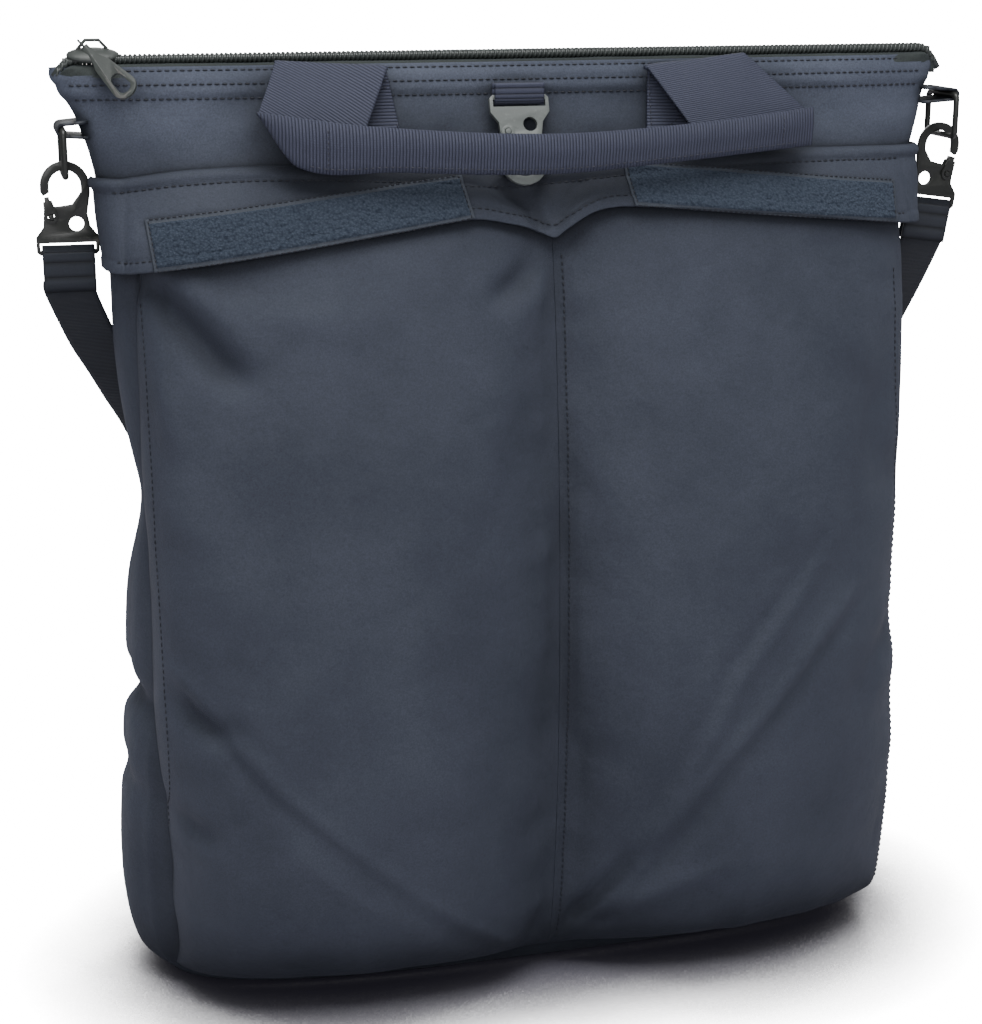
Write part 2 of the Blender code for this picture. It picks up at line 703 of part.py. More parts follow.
def build_side(side):
    """Web tab, ring, snap hook and the strap's sewn loop at one side, and the strap down to the ground."""
    parts = SIDES[side]
    sign = parts["sign"]
    x, top = sign * parts["x"], parts["z"]

    inner = RING_RADIUS + 0.0004
    face = sign * (blend_keys(BODY_PROFILE, top + 0.006)[0] + 3 * GAP)
    turn = arc((x, top), inner + WEB, 90 if sign > 0 else -90, -90 if sign > 0 else -270, 8)
    line = [(face, top + sign * TAB_SPREAD), *turn, (face, top - sign * TAB_SPREAD)]

    def tab(u, v):
        place = line[round(v * (len(line) - 1))]
        return Vector((place[0], -STRAP_WIDTH * (u - 0.5), place[1]))

    sheet(f"side_tab_{side}", tab, 2, len(line) - 1, WEB, "strap")

    wide, low = RING_WIDTH / 2, top - RING_HEIGHT
    corner = RING_CORNER
    centres = ((wide - corner, top - corner, 0), (corner - wide, top - corner, 90))
    centres += ((corner - wide, low + corner, 180), (wide - corner, low + corner, 270))
    ring_line = []
    for y, z, start in centres:
        ring_line += [(x, *point) for point in arc((y, z), corner, start, start + 90, 4)]
    ring = rod(f"ring_{side}", ring_line, RING_RADIUS, "black", closed=True)

    slot_end = low + RING_RADIUS + 0.0003 + EYE_RIM - HOOK_LENGTH
    # the hook and the strap's loop lean together about the ring's lower bar
    hung = Vector((x, 0.0, low))
    swing = Matrix.Rotation(sign * parts["lean"], 4, "Y")

    def leant(point):
        return hung + swing @ (point - hung)

    slot_place = leant(Vector((x, 0.0, slot_end)))
    hook = build_hook(f"snap_hook_{side}", slot_place, pi + sign * parts["lean"], 0.0, sign, "black")
    frame, gate, rivet, rivet_place = hook

    reach = HOOK_THICKNESS / 2 + 0.0004 + WEB
    crest = slot_end + SLOT_BAR + 3 * GAP + WEB - reach
    bend = arc((0.0, crest), reach, 180, 0, 8)
    section = [(-reach, slot_end - LOOP_LENGTH), *bend, (reach, slot_end - LOOP_LENGTH)]

    def loop(u, v):
        y, z = section[round(v * (len(section) - 1))]
        return leant(Vector((x + STRAP_WIDTH * (u - 0.5), y, z)))

    strap_loop = sheet(f"strap_loop_{side}", loop, 2, len(section) - 1, WEB, "strap")

    start = leant(Vector((x, 0.0008, slot_end - LOOP_LENGTH - 0.0005)))
    fall = [start]
    fall += [Vector((sign * point[0], point[1], point[2])) for point in (*parts["fall"], *STRAP_TURN)]

    def across(t):
        turn_angle = pi / 2 * min(max((t - 0.25) / 0.5, 0.0), 1.0)
        return Vector((cos(turn_angle), sign * sin(turn_angle), 0.0))

    ribbon(f"strap_fall_{side}", fall, across, STRAP_WIDTH, 24, WEB, "strap")

    hinge = pivot(f"hanger_pivot_{side}", (x, 0.0, top))
    gate_hinge = pivot(f"gate_pivot_{side}", rivet_place, parent=None)
    hang([ring, frame, rivet, strap_loop], hinge)
    hang(gate, gate_hinge)
    hang([gate_hinge], hinge)


def build_centre_hook():
    place = Vector((CENTRE_X, CENTRE_Y, CENTRE_Z))
    frame, gate, rivet, rivet_place = build_hook("centre_hook", place, 0.0, CENTRE_LEAN, 1, "green")
    half = HOOK_THICKNESS / 2 + 0.0008
    bar_middle = CENTRE_Z - SLOT_BAR / 2
    low = bar_middle - SLOT_BAR / 2 - 0.0004 - WEB
    section = [(CENTRE_Y + half + WEB, CENTRE_Z + 0.0062), (CENTRE_Y + half + WEB, low + 0.0014)]
    section += [(CENTRE_Y + half, low), (CENTRE_Y - half, low)]
    section += [(CENTRE_Y - half - WEB, low + 0.0014), (CENTRE_Y - half - WEB, CENTRE_Z + 0.0062)]

    def tab(u, v):
        y, z = section[round(v * (len(section) - 1))]
        return Vector((CENTRE_X + STRAP_WIDTH * (u - 0.5), y, z))

    sheet("centre_tab", tab, 2, len(section) - 1, WEB, "webbing")
    hinge = pivot("centre_hook_pivot", (CENTRE_X, CENTRE_Y, bar_middle))
    gate_hinge = pivot("centre_gate_pivot", rivet_place)
    hang([frame, rivet], hinge)
    hang(gate, gate_hinge)
    hang([gate_hinge], hinge)


def build_ground_strap():
    def ground(u, v):
        x = STRAP_GROUND_X * (2 * u - 1)
        return Vector((x, STRAP_GROUND_Y + STRAP_WIDTH * (v - 0.5), STRAP_GROUND_TOP))

    sheet("strap_ground", ground, 4, 2, WEB, "strap")
    place = Vector((ADJUSTER_X, STRAP_GROUND_Y, 0.0002 + ADJUSTER_SIZE.z / 2))
    adjuster = block("strap_adjuster", ADJUSTER_SIZE, place, "black")
    combine(adjuster, block("adjuster_slot", ADJUSTER_SLOT, place), "DIFFERENCE")


def build():
    build_body()
    build_pockets()
    build_zipper()
    build_handle("front_handle", back=False)
    build_handle("rear_handle", back=True)
    build_centre_hook()
    for side in SIDES:
        build_side(side)
    build_ground_strap()


build()
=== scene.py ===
from math import cos, exp, pi, radians, sin

import bmesh
import bpy
import numpy as np
from mathutils import Matrix, Vector, noise
from mathutils.bvhtree import BVHTree


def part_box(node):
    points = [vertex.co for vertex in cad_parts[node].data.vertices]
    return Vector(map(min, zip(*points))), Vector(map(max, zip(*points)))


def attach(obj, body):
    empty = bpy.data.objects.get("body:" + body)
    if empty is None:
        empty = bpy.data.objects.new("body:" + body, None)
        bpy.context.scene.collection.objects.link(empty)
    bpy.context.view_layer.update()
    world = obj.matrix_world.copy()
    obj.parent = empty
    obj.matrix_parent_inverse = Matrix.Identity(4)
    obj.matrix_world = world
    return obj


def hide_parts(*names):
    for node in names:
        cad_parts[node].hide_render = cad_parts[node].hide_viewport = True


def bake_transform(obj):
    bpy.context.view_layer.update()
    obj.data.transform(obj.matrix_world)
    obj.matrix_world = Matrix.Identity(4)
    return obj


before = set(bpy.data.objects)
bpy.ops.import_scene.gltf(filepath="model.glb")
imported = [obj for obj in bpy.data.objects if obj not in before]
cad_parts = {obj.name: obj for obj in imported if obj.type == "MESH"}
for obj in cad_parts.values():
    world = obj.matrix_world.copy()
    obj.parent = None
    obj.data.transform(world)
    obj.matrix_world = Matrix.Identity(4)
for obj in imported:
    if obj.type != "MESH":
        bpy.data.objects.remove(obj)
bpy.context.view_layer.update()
print("frame loaded:", len(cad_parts), "nodes")


# Camera, light and floor

def buildCamera():
    view = {"place": (-0.2678, -0.9896, 0.5357), "pitch": 16.2, "yaw": 14.5, "lens": 73.32, "sensor": 36.0}
    data = bpy.data.cameras.new("camera")
    data.sensor_fit = "HORIZONTAL"
    data.sensor_width = view["sensor"]
    data.lens = view["lens"]
    data.clip_end = 50.0
    camera = bpy.data.objects.new("camera", data)
    camera.location = view["place"]
    camera.rotation_euler = (radians(90.0 - view["pitch"]), 0.0, radians(-view["yaw"]))
    bpy.context.scene.collection.objects.link(camera)
    bpy.context.scene.camera = camera


def buildStudio():
    studio = {
        "world": 0.24, "backdrop": 20.0,
        "lamps": (
            # name, place, aim, side, watts
            ("overhead", (-0.10, -0.55, 2.00), (0.0, 0.0, 0.30), 1.3, 34.0),
            ("key", (-0.70, -2.10, 0.95), (0.0, 0.0, 0.20), 0.7, 12.0),
            ("fill", (1.30, -1.80, 0.80), (0.0, 0.0, 0.20), 1.2, 2.6),
            ("back", (0.30, 2.10, 1.30), (0.0, 0.0, 0.25), 1.2, 12.0),
        ),
        # floor colour, painted shadow colour beside the bag, camera-only glow, and the reach and fall-off
        # of the painted shadow
        "floor": (0.62, 0.60, 0.66), "shadowTone": (0.07, 0.066, 0.095), "glow": 22.0, "shadowReach": 0.085,
        "glowFall": 7.0, "toneFall": 3.0,
    }
    world = bpy.data.worlds.new("studio")
    world.use_nodes = True
    background = world.node_tree.nodes["Background"]
    background.inputs["Color"].default_value = (1.0, 1.0, 1.0, 1.0)
    seen = put(world.node_tree, "ShaderNodeLightPath").outputs["Is Camera Ray"]
    strength = spread(world.node_tree, seen, 0.0, 1.0, studio["world"], studio["backdrop"])
    world.node_tree.links.new(strength, background.inputs["Strength"])
    bpy.context.scene.world = world
    for name, place, aim, side, watts in studio["lamps"]:
        data = bpy.data.lights.new(name, "AREA")
        data.shape = "SQUARE"
        data.size = side
        data.energy = watts
        lamp = bpy.data.objects.new(name, data)
        lamp.location = place
        lamp.rotation_euler = (Vector(aim) - Vector(place)).to_track_quat("-Z", "Y").to_euler()
        bpy.context.scene.collection.objects.link(lamp)
    bm = bmesh.new()
    bmesh.ops.create_grid(bm, x_segments=1, y_segments=1, size=30.0)
    mesh = bpy.data.meshes.new("floor")
    bm.to_mesh(mesh)
    bm.free()
    floor = bpy.data.objects.new("floor", mesh)
    floor.location = (0.0, 0.0, -0.0004)
    bpy.context.scene.collection.objects.link(floor)
    paint = bpy.data.materials.new("floorPaint")
    paint.use_nodes = True
    shader = paint.node_tree.nodes["Principled BSDF"]
    shader.inputs["Roughness"].default_value = 0.9
    shader.inputs["Specular IOR Level"].default_value = 0.1
    shader.inputs["Emission Color"].default_value = (1.0, 0.995, 1.0, 1.0)
    tree = paint.node_tree
    seen = put(tree, "ShaderNodeLightPath").outputs["Is Camera Ray"]
    # painted shadow: the floor's colour and its glow for the camera are darkened where the bag stands close
    # above it
    floorShadowMask = put(
        tree, "ShaderNodeAmbientOcclusion", {"samples": 8}, {"Distance": studio["shadowReach"]},
    ).outputs["AO"]
    glow = calc(tree, "MULTIPLY", calc(tree, "POWER", floorShadowMask, studio["glowFall"]), studio["glow"])
    tree.links.new(calc(tree, "MULTIPLY", seen, glow), shader.inputs["Emission Strength"])
    tone = mixColour(
        tree, calc(tree, "POWER", floorShadowMask, studio["toneFall"]), studio["shadowTone"], studio["floor"],
    )
    tree.links.new(tone, shader.inputs["Base Color"])
    mesh.materials.append(paint)


# Node helpers

def put(tree, kind, settings=None, inputs=None):
    # a node: settings are its properties, and inputs are values or sockets to link
    made = tree.nodes.new(kind)
    for key, value in (settings or {}).items():
        setattr(made, key, value)
    for key, value in (inputs or {}).items():
        if isinstance(value, bpy.types.NodeSocket):
            tree.links.new(value, made.inputs[key])
        else:
            made.inputs[key].default_value = value
    return made


def calc(tree, operation, first, second=None, clamp=False):
    inputs = {0: first} if second is None else {0: first, 1: second}
    return put(tree, "ShaderNodeMath", {"operation": operation, "use_clamp": clamp}, inputs).outputs[0]


def mixColour(tree, share, first, second, kind="MIX"):
    made = put(tree, "ShaderNodeMix", {"data_type": "RGBA", "blend_type": kind}, {"Factor": share})
    for key, value in ((6, first), (7, second)):
        if isinstance(value, bpy.types.NodeSocket):
            tree.links.new(value, made.inputs[key])
        else:
            made.inputs[key].default_value = (*value, 1.0)
    return made.outputs[2]


def spread(tree, value, low, high, newLow=0.0, newHigh=1.0):
    inputs = {"Value": value, "From Min": low, "From Max": high, "To Min": newLow, "To Max": newHigh}
    return put(tree, "ShaderNodeMapRange", {"clamp": True}, inputs).outputs[0]


def speckle(tree, vector, scale, detail=2.0, roughness=0.5):
    inputs = {"Vector": vector, "Scale": scale, "Detail": detail, "Roughness": roughness}
    return put(tree, "ShaderNodeTexNoise", None, inputs).outputs[0]


def newGroup(name, inputs, outputs):
    group = bpy.data.node_groups.new(name, "ShaderNodeTree")
    for label, kind, value in inputs:
        socket = group.interface.new_socket(label, in_out="INPUT", socket_type=kind)
        if value is not None:
            socket.default_value = value
    for label, kind in outputs:
        group.interface.new_socket(label, in_out="OUTPUT", socket_type=kind)
    return group, group.nodes.new("NodeGroupInput").outputs, group.nodes.new("NodeGroupOutput").inputs


def useGroup(tree, group, inputs):
    made = tree.nodes.new("ShaderNodeGroup")
    made.node_tree = group
    for key, value in inputs.items():
        if isinstance(value, bpy.types.NodeSocket):
            tree.links.new(value, made.inputs[key])
        else:
            made.inputs[key].default_value = value
    return made.outputs


def buildWeaveGroup():
    # plain weave from UVs in metres: threads that cross over and under each other
    group, given, out = newGroup(
        "weave",
        [("Vector", "NodeSocketVector", None), ("Pitch", "NodeSocketFloat", 0.0005)],
        [("Height", "NodeSocketFloat"), ("Gaps", "NodeSocketFloat")],
    )
    parts = put(group, "ShaderNodeSeparateXYZ", None, {0: given["Vector"]}).outputs
    waves = []
    for axis in (0, 1):
        turns = calc(group, "DIVIDE", parts[axis], given["Pitch"])
        waves.append(calc(group, "SINE", calc(group, "MULTIPLY", turns, pi)))
    product = calc(group, "MULTIPLY", waves[0], waves[1])
    side = calc(group, "GREATER_THAN", product, 0.0)
    across = calc(group, "ABSOLUTE", waves[0])
    along = calc(group, "ABSOLUTE", waves[1])
    over = calc(group, "MULTIPLY", across, side)
    under = calc(group, "MULTIPLY", along, calc(group, "SUBTRACT", 1.0, side))
    height = calc(group, "ADD", over, under)
    group.links.new(height, out["Height"])
    group.links.new(spread(group, height, 0.0, 0.45, 1.0, 0.0), out["Gaps"])
    return group


def buildMottleGroup():
    # soft clouds and fine flecks, both from 0 to 1 about 0.5
    group, given, out = newGroup(
        "mottle",
        [
            ("Vector", "NodeSocketVector", None), ("Cloud Size", "NodeSocketFloat", 14.0),
            ("Fleck Size", "NodeSocketFloat", 900.0),
        ],
        [("Clouds", "NodeSocketFloat"), ("Flecks", "NodeSocketFloat")],
    )
    clouds = speckle(group, given["Vector"], given["Cloud Size"], 4.0, 0.6)
    flecks = speckle(group, given["Vector"], given["Fleck Size"], 2.0, 0.7)
    group.links.new(spread(group, clouds, 0.30, 0.70), out["Clouds"])
    group.links.new(spread(group, flecks, 0.25, 0.75), out["Flecks"])
    return group


def buildRibGroup():
    # webbing: cords across the width, each crossed by fine threads, from UVs in metres, with a mask of the
    # grooves between the cords for painted shade
    group, given, out = newGroup(
        "webRibs",
        [
            ("Vector", "NodeSocketVector", None), ("Pitch", "NodeSocketFloat", 0.0015),
            ("Thread", "NodeSocketFloat", 0.0006),
        ],
        [("Height", "NodeSocketFloat"), ("GrooveShade", "NodeSocketFloat")],
    )
    parts = put(group, "ShaderNodeSeparateXYZ", None, {0: given["Vector"]}).outputs
    turns = calc(group, "MULTIPLY", calc(group, "DIVIDE", parts[1], given["Pitch"]), pi)
    rib = calc(group, "ABSOLUTE", calc(group, "SINE", turns))
    rib = calc(group, "POWER", rib, 0.6)
    threads = calc(group, "MULTIPLY", calc(group, "DIVIDE", parts[0], given["Thread"]), pi)
    thread = calc(group, "ABSOLUTE", calc(group, "SINE", threads))
    height = calc(group, "ADD", calc(group, "MULTIPLY", rib, 0.8), calc(group, "MULTIPLY", thread, 0.2))
    group.links.new(height, out["Height"])
    group.links.new(spread(group, rib, 0.25, 0.85, 1.0, 0.0), out["GrooveShade"])
    return group


def buildWearGroup():
    # rubbed edges and scuffs on enamel, where edge is how convex the surface is
    group, given, out = newGroup(
        "wear",
        [
            ("Vector", "NodeSocketVector", None), ("Edge", "NodeSocketFloat", 0.5),
            ("Start", "NodeSocketFloat", 0.52), ("Breakup", "NodeSocketFloat", 500.0),
        ],
        [("Worn", "NodeSocketFloat"), ("Scuffs", "NodeSocketFloat")],
    )
    rough = speckle(group, given["Vector"], given["Breakup"], 4.0, 0.7)
    edge = calc(group, "SUBTRACT", given["Edge"], given["Start"])
    edge = calc(group, "MULTIPLY", edge, 14.0)
    worn = calc(group, "ADD", edge, calc(group, "SUBTRACT", calc(group, "MULTIPLY", rough, 1.6), 0.9))
    group.links.new(spread(group, worn, 0.1, 0.7), out["Worn"])
    group.links.new(spread(group, rough, 0.56, 0.72), out["Scuffs"])
    return group


groups = {
    "weave": buildWeaveGroup(), "mottle": buildMottleGroup(), "ribs": buildRibGroup(),
    "wear": buildWearGroup(),
}


# Materials

def newMaterial(name):
    made = bpy.data.materials.new(name)
    made.use_nodes = True
    tree = made.node_tree
    return made, tree, tree.nodes["Principled BSDF"]


def bumpUp(tree, height, strength, distance, normal=None):
    inputs = {"Height": height, "Strength": strength, "Distance": distance}
    if normal is not None:
        inputs["Normal"] = normal
    return put(tree, "ShaderNodeBump", None, inputs).outputs[0]


def greyOf(tree, value):
    return put(tree, "ShaderNodeCombineColor", None, {0: value, 1: value, 2: value}).outputs[0]


def sheenOn(shader, spec, roughness, tint, gloss):
    shader.inputs["Sheen Weight"].default_value = spec["sheen"]
    shader.inputs["Sheen Roughness"].default_value = roughness
    shader.inputs["Sheen Tint"].default_value = (*tint, 1.0)
    shader.inputs["Specular IOR Level"].default_value = gloss


def clothMaterial(name, spec):
    made, tree, shader = newMaterial(name)
    uv = put(tree, "ShaderNodeUVMap").outputs[0]
    place = put(tree, "ShaderNodeTexCoord").outputs["Object"]
    weave = useGroup(tree, groups["weave"], {"Vector": uv, "Pitch": spec["pitch"]})
    mottle = useGroup(
        tree, groups["mottle"],
        {"Vector": place, "Cloud Size": spec["clouds"], "Fleck Size": spec["flecks"]},
    )
    tone = mixColour(tree, mottle["Clouds"], spec["dark"], spec["light"])
    fleck = spread(tree, mottle["Flecks"], 0.0, 1.0, 1.0 - spec["fleck"], 1.0 + spec["fleck"])
    gap = spread(tree, weave["Gaps"], 0.0, 1.0, 1.0, 1.0 - spec["gapShade"])
    shade = calc(tree, "MULTIPLY", fleck, gap)
    if spec.get("fold"):
        # painted shade: the colour is darkened where the cloth folds in on itself and where other parts
        # stand close by
        paintedShade = put(
            tree, "ShaderNodeAmbientOcclusion", {"samples": 8}, {"Distance": spec["shadeReach"]},
        ).outputs["AO"]
        shade = calc(tree, "MULTIPLY", shade, spread(tree, paintedShade, 0.58, 0.97, spec["fold"], 1.06))
    if spec.get("fade"):
        # painted light: the cloth is made paler towards the top of the bag, as if lit more strongly there
        height = put(tree, "ShaderNodeSeparateXYZ", None, {0: place}).outputs[2]
        shade = calc(tree, "MULTIPLY", shade, spread(tree, height, 0.425, 0.445, 1.0, spec["fade"]))
    tree.links.new(mixColour(tree, 1.0, tone, greyOf(tree, shade), "MULTIPLY"), shader.inputs["Base Color"])
    tree.links.new(
        spread(tree, mottle["Flecks"], 0.0, 1.0, spec["rough"] - 0.07, spec["rough"] + 0.07),
        shader.inputs["Roughness"],
    )
    crumple = speckle(tree, place, spec["crumple"], 3.0, 0.55)
    normal = bumpUp(tree, crumple, 0.5, spec["crumpleDepth"])
    normal = bumpUp(tree, weave["Height"], 0.7, spec["weaveDepth"], normal)
    tree.links.new(normal, shader.inputs["Normal"])
    sheenOn(shader, spec, 0.45, spec["sheenTint"], spec["gloss"])
    return made


def webbingMaterial(name, spec):
    made, tree, shader = newMaterial(name)
    uv = put(tree, "ShaderNodeUVMap").outputs[0]
    place = put(tree, "ShaderNodeTexCoord").outputs["Object"]
    ribs = useGroup(tree, groups["ribs"], {"Vector": uv, "Pitch": spec["pitch"], "Thread": spec["thread"]})
    mottle = useGroup(tree, groups["mottle"], {"Vector": place, "Cloud Size": 30.0, "Fleck Size": 1500.0})
    # painted shade: the grooves between the ribs take the dark colour and the rib tops the light one
    tone = mixColour(tree, ribs["GrooveShade"], spec["light"], spec["dark"])
    fleck = spread(tree, mottle["Flecks"], 0.0, 1.0, 0.86, 1.14)
    tree.links.new(mixColour(tree, 1.0, tone, greyOf(tree, fleck), "MULTIPLY"), shader.inputs["Base Color"])
    tree.links.new(
        spread(tree, mottle["Clouds"], 0.0, 1.0, spec["rough"] - 0.06, spec["rough"] + 0.06),
        shader.inputs["Roughness"],
    )
    tree.links.new(bumpUp(tree, ribs["Height"], 0.9, spec["depth"]), shader.inputs["Normal"])
    sheenOn(shader, spec, 0.4, spec["light"], spec["gloss"])
    return made


def pileMaterial(name, spec):
    made, tree, shader = newMaterial(name)
    place = put(tree, "ShaderNodeTexCoord").outputs["Object"]
    tufts = put(
        tree, "ShaderNodeTexVoronoi", {"feature": "F1"},
        {"Vector": place, "Scale": spec["tufts"], "Randomness": 1.0},
    ).outputs[0]
    fuzz = speckle(tree, place, spec["fuzz"], 4.0, 0.75)
    blend = calc(tree, "ADD", calc(tree, "MULTIPLY", tufts, 0.5), calc(tree, "MULTIPLY", fuzz, 0.7))
    tone = mixColour(tree, spread(tree, blend, 0.35, 0.95), spec["light"], spec["dark"])
    tree.links.new(tone, shader.inputs["Base Color"])
    tree.links.new(spread(tree, fuzz, 0.3, 0.7, 0.85, 1.0), shader.inputs["Roughness"])
    normal = bumpUp(tree, fuzz, 0.9, 0.0009)
    normal = bumpUp(tree, calc(tree, "SUBTRACT", 1.0, tufts), 0.8, 0.0006, normal)
    tree.links.new(normal, shader.inputs["Normal"])
    sheenOn(shader, spec, 0.5, spec["sheenTint"], 0.15)
    return made


def enamelMaterial(name, spec):
    made, tree, shader = newMaterial(name)
    place = put(tree, "ShaderNodeTexCoord").outputs["Object"]
    edge = put(tree, "ShaderNodeNewGeometry").outputs["Pointiness"]
    wear = useGroup(
        tree, groups["wear"],
        {"Vector": place, "Edge": edge, "Start": spec["start"], "Breakup": spec["breakup"]},
    )
    tone = mixColour(tree, wear["Scuffs"], spec["base"], spec["scuff"])
    tree.links.new(mixColour(tree, wear["Worn"], tone, spec["metal"]), shader.inputs["Base Color"])
    tree.links.new(calc(tree, "MULTIPLY", wear["Worn"], 0.8), shader.inputs["Metallic"])
    rough = spread(tree, wear["Scuffs"], 0.0, 1.0, spec["rough"], spec["rough"] + 0.16)
    tree.links.new(rough, shader.inputs["Roughness"])
    peel = speckle(tree, place, 1400.0, 2.0, 0.5)
    tree.links.new(bumpUp(tree, peel, 0.25, 0.0002), shader.inputs["Normal"])
    return made


def threadMaterial(name, light, dark):
    made, tree, shader = newMaterial(name)
    place = put(tree, "ShaderNodeTexCoord").outputs["Object"]
    twist = speckle(tree, place, 2600.0, 2.0, 0.6)
    tree.links.new(
        mixColour(tree, spread(tree, twist, 0.35, 0.65), dark, light), shader.inputs["Base Color"],
    )
    tree.links.new(spread(tree, twist, 0.3, 0.7, 0.45, 0.65), shader.inputs["Roughness"])
    tree.links.new(bumpUp(tree, twist, 0.5, 0.0001), shader.inputs["Normal"])
    return made


def buildMaterials():
    shell = {
        "dark": (0.0375, 0.0445, 0.0640), "light": (0.0560, 0.0650, 0.0900), "pitch": 0.00042,
        "clouds": 16.0, "flecks": 1100.0,
        "fleck": 0.26, "gapShade": 0.25, "rough": 0.62, "crumple": 95.0, "crumpleDepth": 0.0020,
        "weaveDepth": 0.00012,
        # fade, on the next line, paints light: it makes the cloth paler at the top of the bag
        "sheen": 0.10, "sheenTint": (0.55, 0.62, 0.80), "gloss": 0.28, "fade": 1.6, "fold": 0.42,
        # with fold on the line above, this reach sets the painted shade in folds and hollows
        "shadeReach": 0.060,
    }
    lining = dict(
        shell, fade=None, fold=None, dark=(0.030, 0.036, 0.048), light=(0.038, 0.046, 0.060), pitch=0.0006,
        rough=0.7,
    )
    zipTape = dict(
        shell, fade=None, fold=None, dark=(0.034, 0.042, 0.041), light=(0.050, 0.060, 0.057), pitch=0.0008,
        gapShade=0.45, weaveDepth=0.0002, crumpleDepth=0.0002,
    )
    webbing = {
        "light": (0.060, 0.067, 0.106), "dark": (0.024, 0.027, 0.044), "pitch": 0.0016, "thread": 0.0006,
        "rough": 0.52, "depth": 0.0005, "sheen": 0.06, "gloss": 0.35,
    }
    strap = {
        "light": (0.026, 0.031, 0.042), "dark": (0.008, 0.010, 0.014), "pitch": 0.0013, "thread": 0.0005,
        "rough": 0.5, "depth": 0.0005, "sheen": 0.12, "gloss": 0.4,
    }
    pile = {
        "light": (0.062, 0.078, 0.106), "dark": (0.018, 0.025, 0.040), "tufts": 800.0, "fuzz": 700.0,
        "sheen": 0.12, "sheenTint": (0.45, 0.60, 0.85),
    }
    green = {
        "base": (0.058, 0.066, 0.062), "scuff": (0.090, 0.100, 0.094), "metal": (0.26, 0.26, 0.25),
        "start": 0.56, "breakup": 420.0, "rough": 0.42,
    }
    hookGreen = dict(green, base=(0.165, 0.182, 0.176), scuff=(0.215, 0.232, 0.222))
    black = {
        "base": (0.020, 0.022, 0.020), "scuff": (0.040, 0.042, 0.038), "metal": (0.20, 0.20, 0.18),
        "start": 0.60, "breakup": 420.0, "rough": 0.34,
    }
    made = {
        "shell": clothMaterial("nylonShell", shell),
        "lining": clothMaterial("liningCloth", lining),
        "zipTape": clothMaterial("zipperTape", zipTape),
        "webbing": webbingMaterial("handleWebbing", webbing),
        "strap": webbingMaterial("strapWebbing", strap),
        "pile": pileMaterial("pileTape", pile),
        "selvage": clothMaterial(
            "pileSelvage",
            dict(
                shell, fade=None, fold=None, dark=(0.046, 0.055, 0.072), light=(0.062, 0.072, 0.092),
                pitch=0.0006,
            ),
        ),
        "slider": enamelMaterial("sliderEnamel", green),
        "hookGreen": enamelMaterial("hookEnamel", hookGreen),
        "black": enamelMaterial("blackEnamel", black),
        "coil": enamelMaterial(
            "coilNylon",
            dict(black, base=(0.050, 0.058, 0.056), scuff=(0.085, 0.094, 0.090), start=0.9, rough=0.26),
        ),
        "thread": threadMaterial("navyThread", (0.020, 0.023, 0.036), (0.006, 0.007, 0.012)),
        "webThread": threadMaterial("webThread", (0.060, 0.062, 0.090), (0.026, 0.028, 0.042)),
    }
    return made


materials = buildMaterials()
print("materials:", len(materials))


# Shape of the bag, in metres: the same surfaces as the frame, worked out from its boxes and these rows

body = {
    "top": 0.470, "base": 0.0012, "squareness": 3.0,
    # height, half width, half depth
    "profile": (
        (0.000, 0.190, 0.050), (0.020, 0.209, 0.058), (0.060, 0.216, 0.061), (0.140, 0.212, 0.062),
        (0.250, 0.204, 0.056), (0.340, 0.204, 0.045), (0.385, 0.206, 0.036), (0.420, 0.211, 0.0265),
        (0.450, 0.220, 0.0170), (0.470, 0.227, 0.0125),
    ),
}
pocket = {
    "foot": 0.012, "side": 0.196, "seam": 0.0001, "valley": 0.80, "valleyWidth": 0.036, "step": 0.0026,
    "cover": 0.007, "thickness": 0.0010,
    # height, depth beyond the body's front
    "depth": (
        (0.012, 0.0005), (0.018, 0.018), (0.032, 0.031), (0.070, 0.042), (0.140, 0.044),
        (0.220, 0.039), (0.300, 0.029), (0.360, 0.020), (0.394, 0.0145), (0.412, 0.0115),
    ),
}
flap = {
    "side": 0.199, "step": 0.0034, "spread": 0.007,
    "edge": (
        (-0.199, 0.3790), (-0.186, 0.3812), (-0.121, 0.3900), (-0.073, 0.3968), (-0.033, 0.4012),
        (-0.012, 0.3975), (0.001, 0.3938), (0.0085, 0.3908), (0.0150, 0.3950), (0.030, 0.4030),
        (0.047, 0.4050), (0.132, 0.3985), (0.199, 0.3895),
    ),
    "ridge": (
        (-0.199, 0.4225), (-0.170, 0.4262), (-0.127, 0.4275), (-0.060, 0.4250), (-0.015, 0.4215),
        (0.010, 0.4225), (0.060, 0.4265), (0.141, 0.4290), (0.199, 0.4285),
    ),
}
# how far each side leans out: height, distance
lean = {
    "left": (
        (0.385, 0.0), (0.400, -0.0008), (0.420, -0.0032), (0.435, -0.0042), (0.450, -0.0040),
        (0.462, -0.0018), (0.472, 0.0),
    ),
    "right": (
        (0.0, 0.002), (0.040, 0.003), (0.120, 0.002), (0.190, 0.001), (0.240, 0.004), (0.300, 0.0085),
        (0.350, 0.0100), (0.386, 0.0085), (0.420, 0.0065), (0.450, 0.0060), (0.465, 0.0035),
        (0.476, 0.0010),
    ),
}


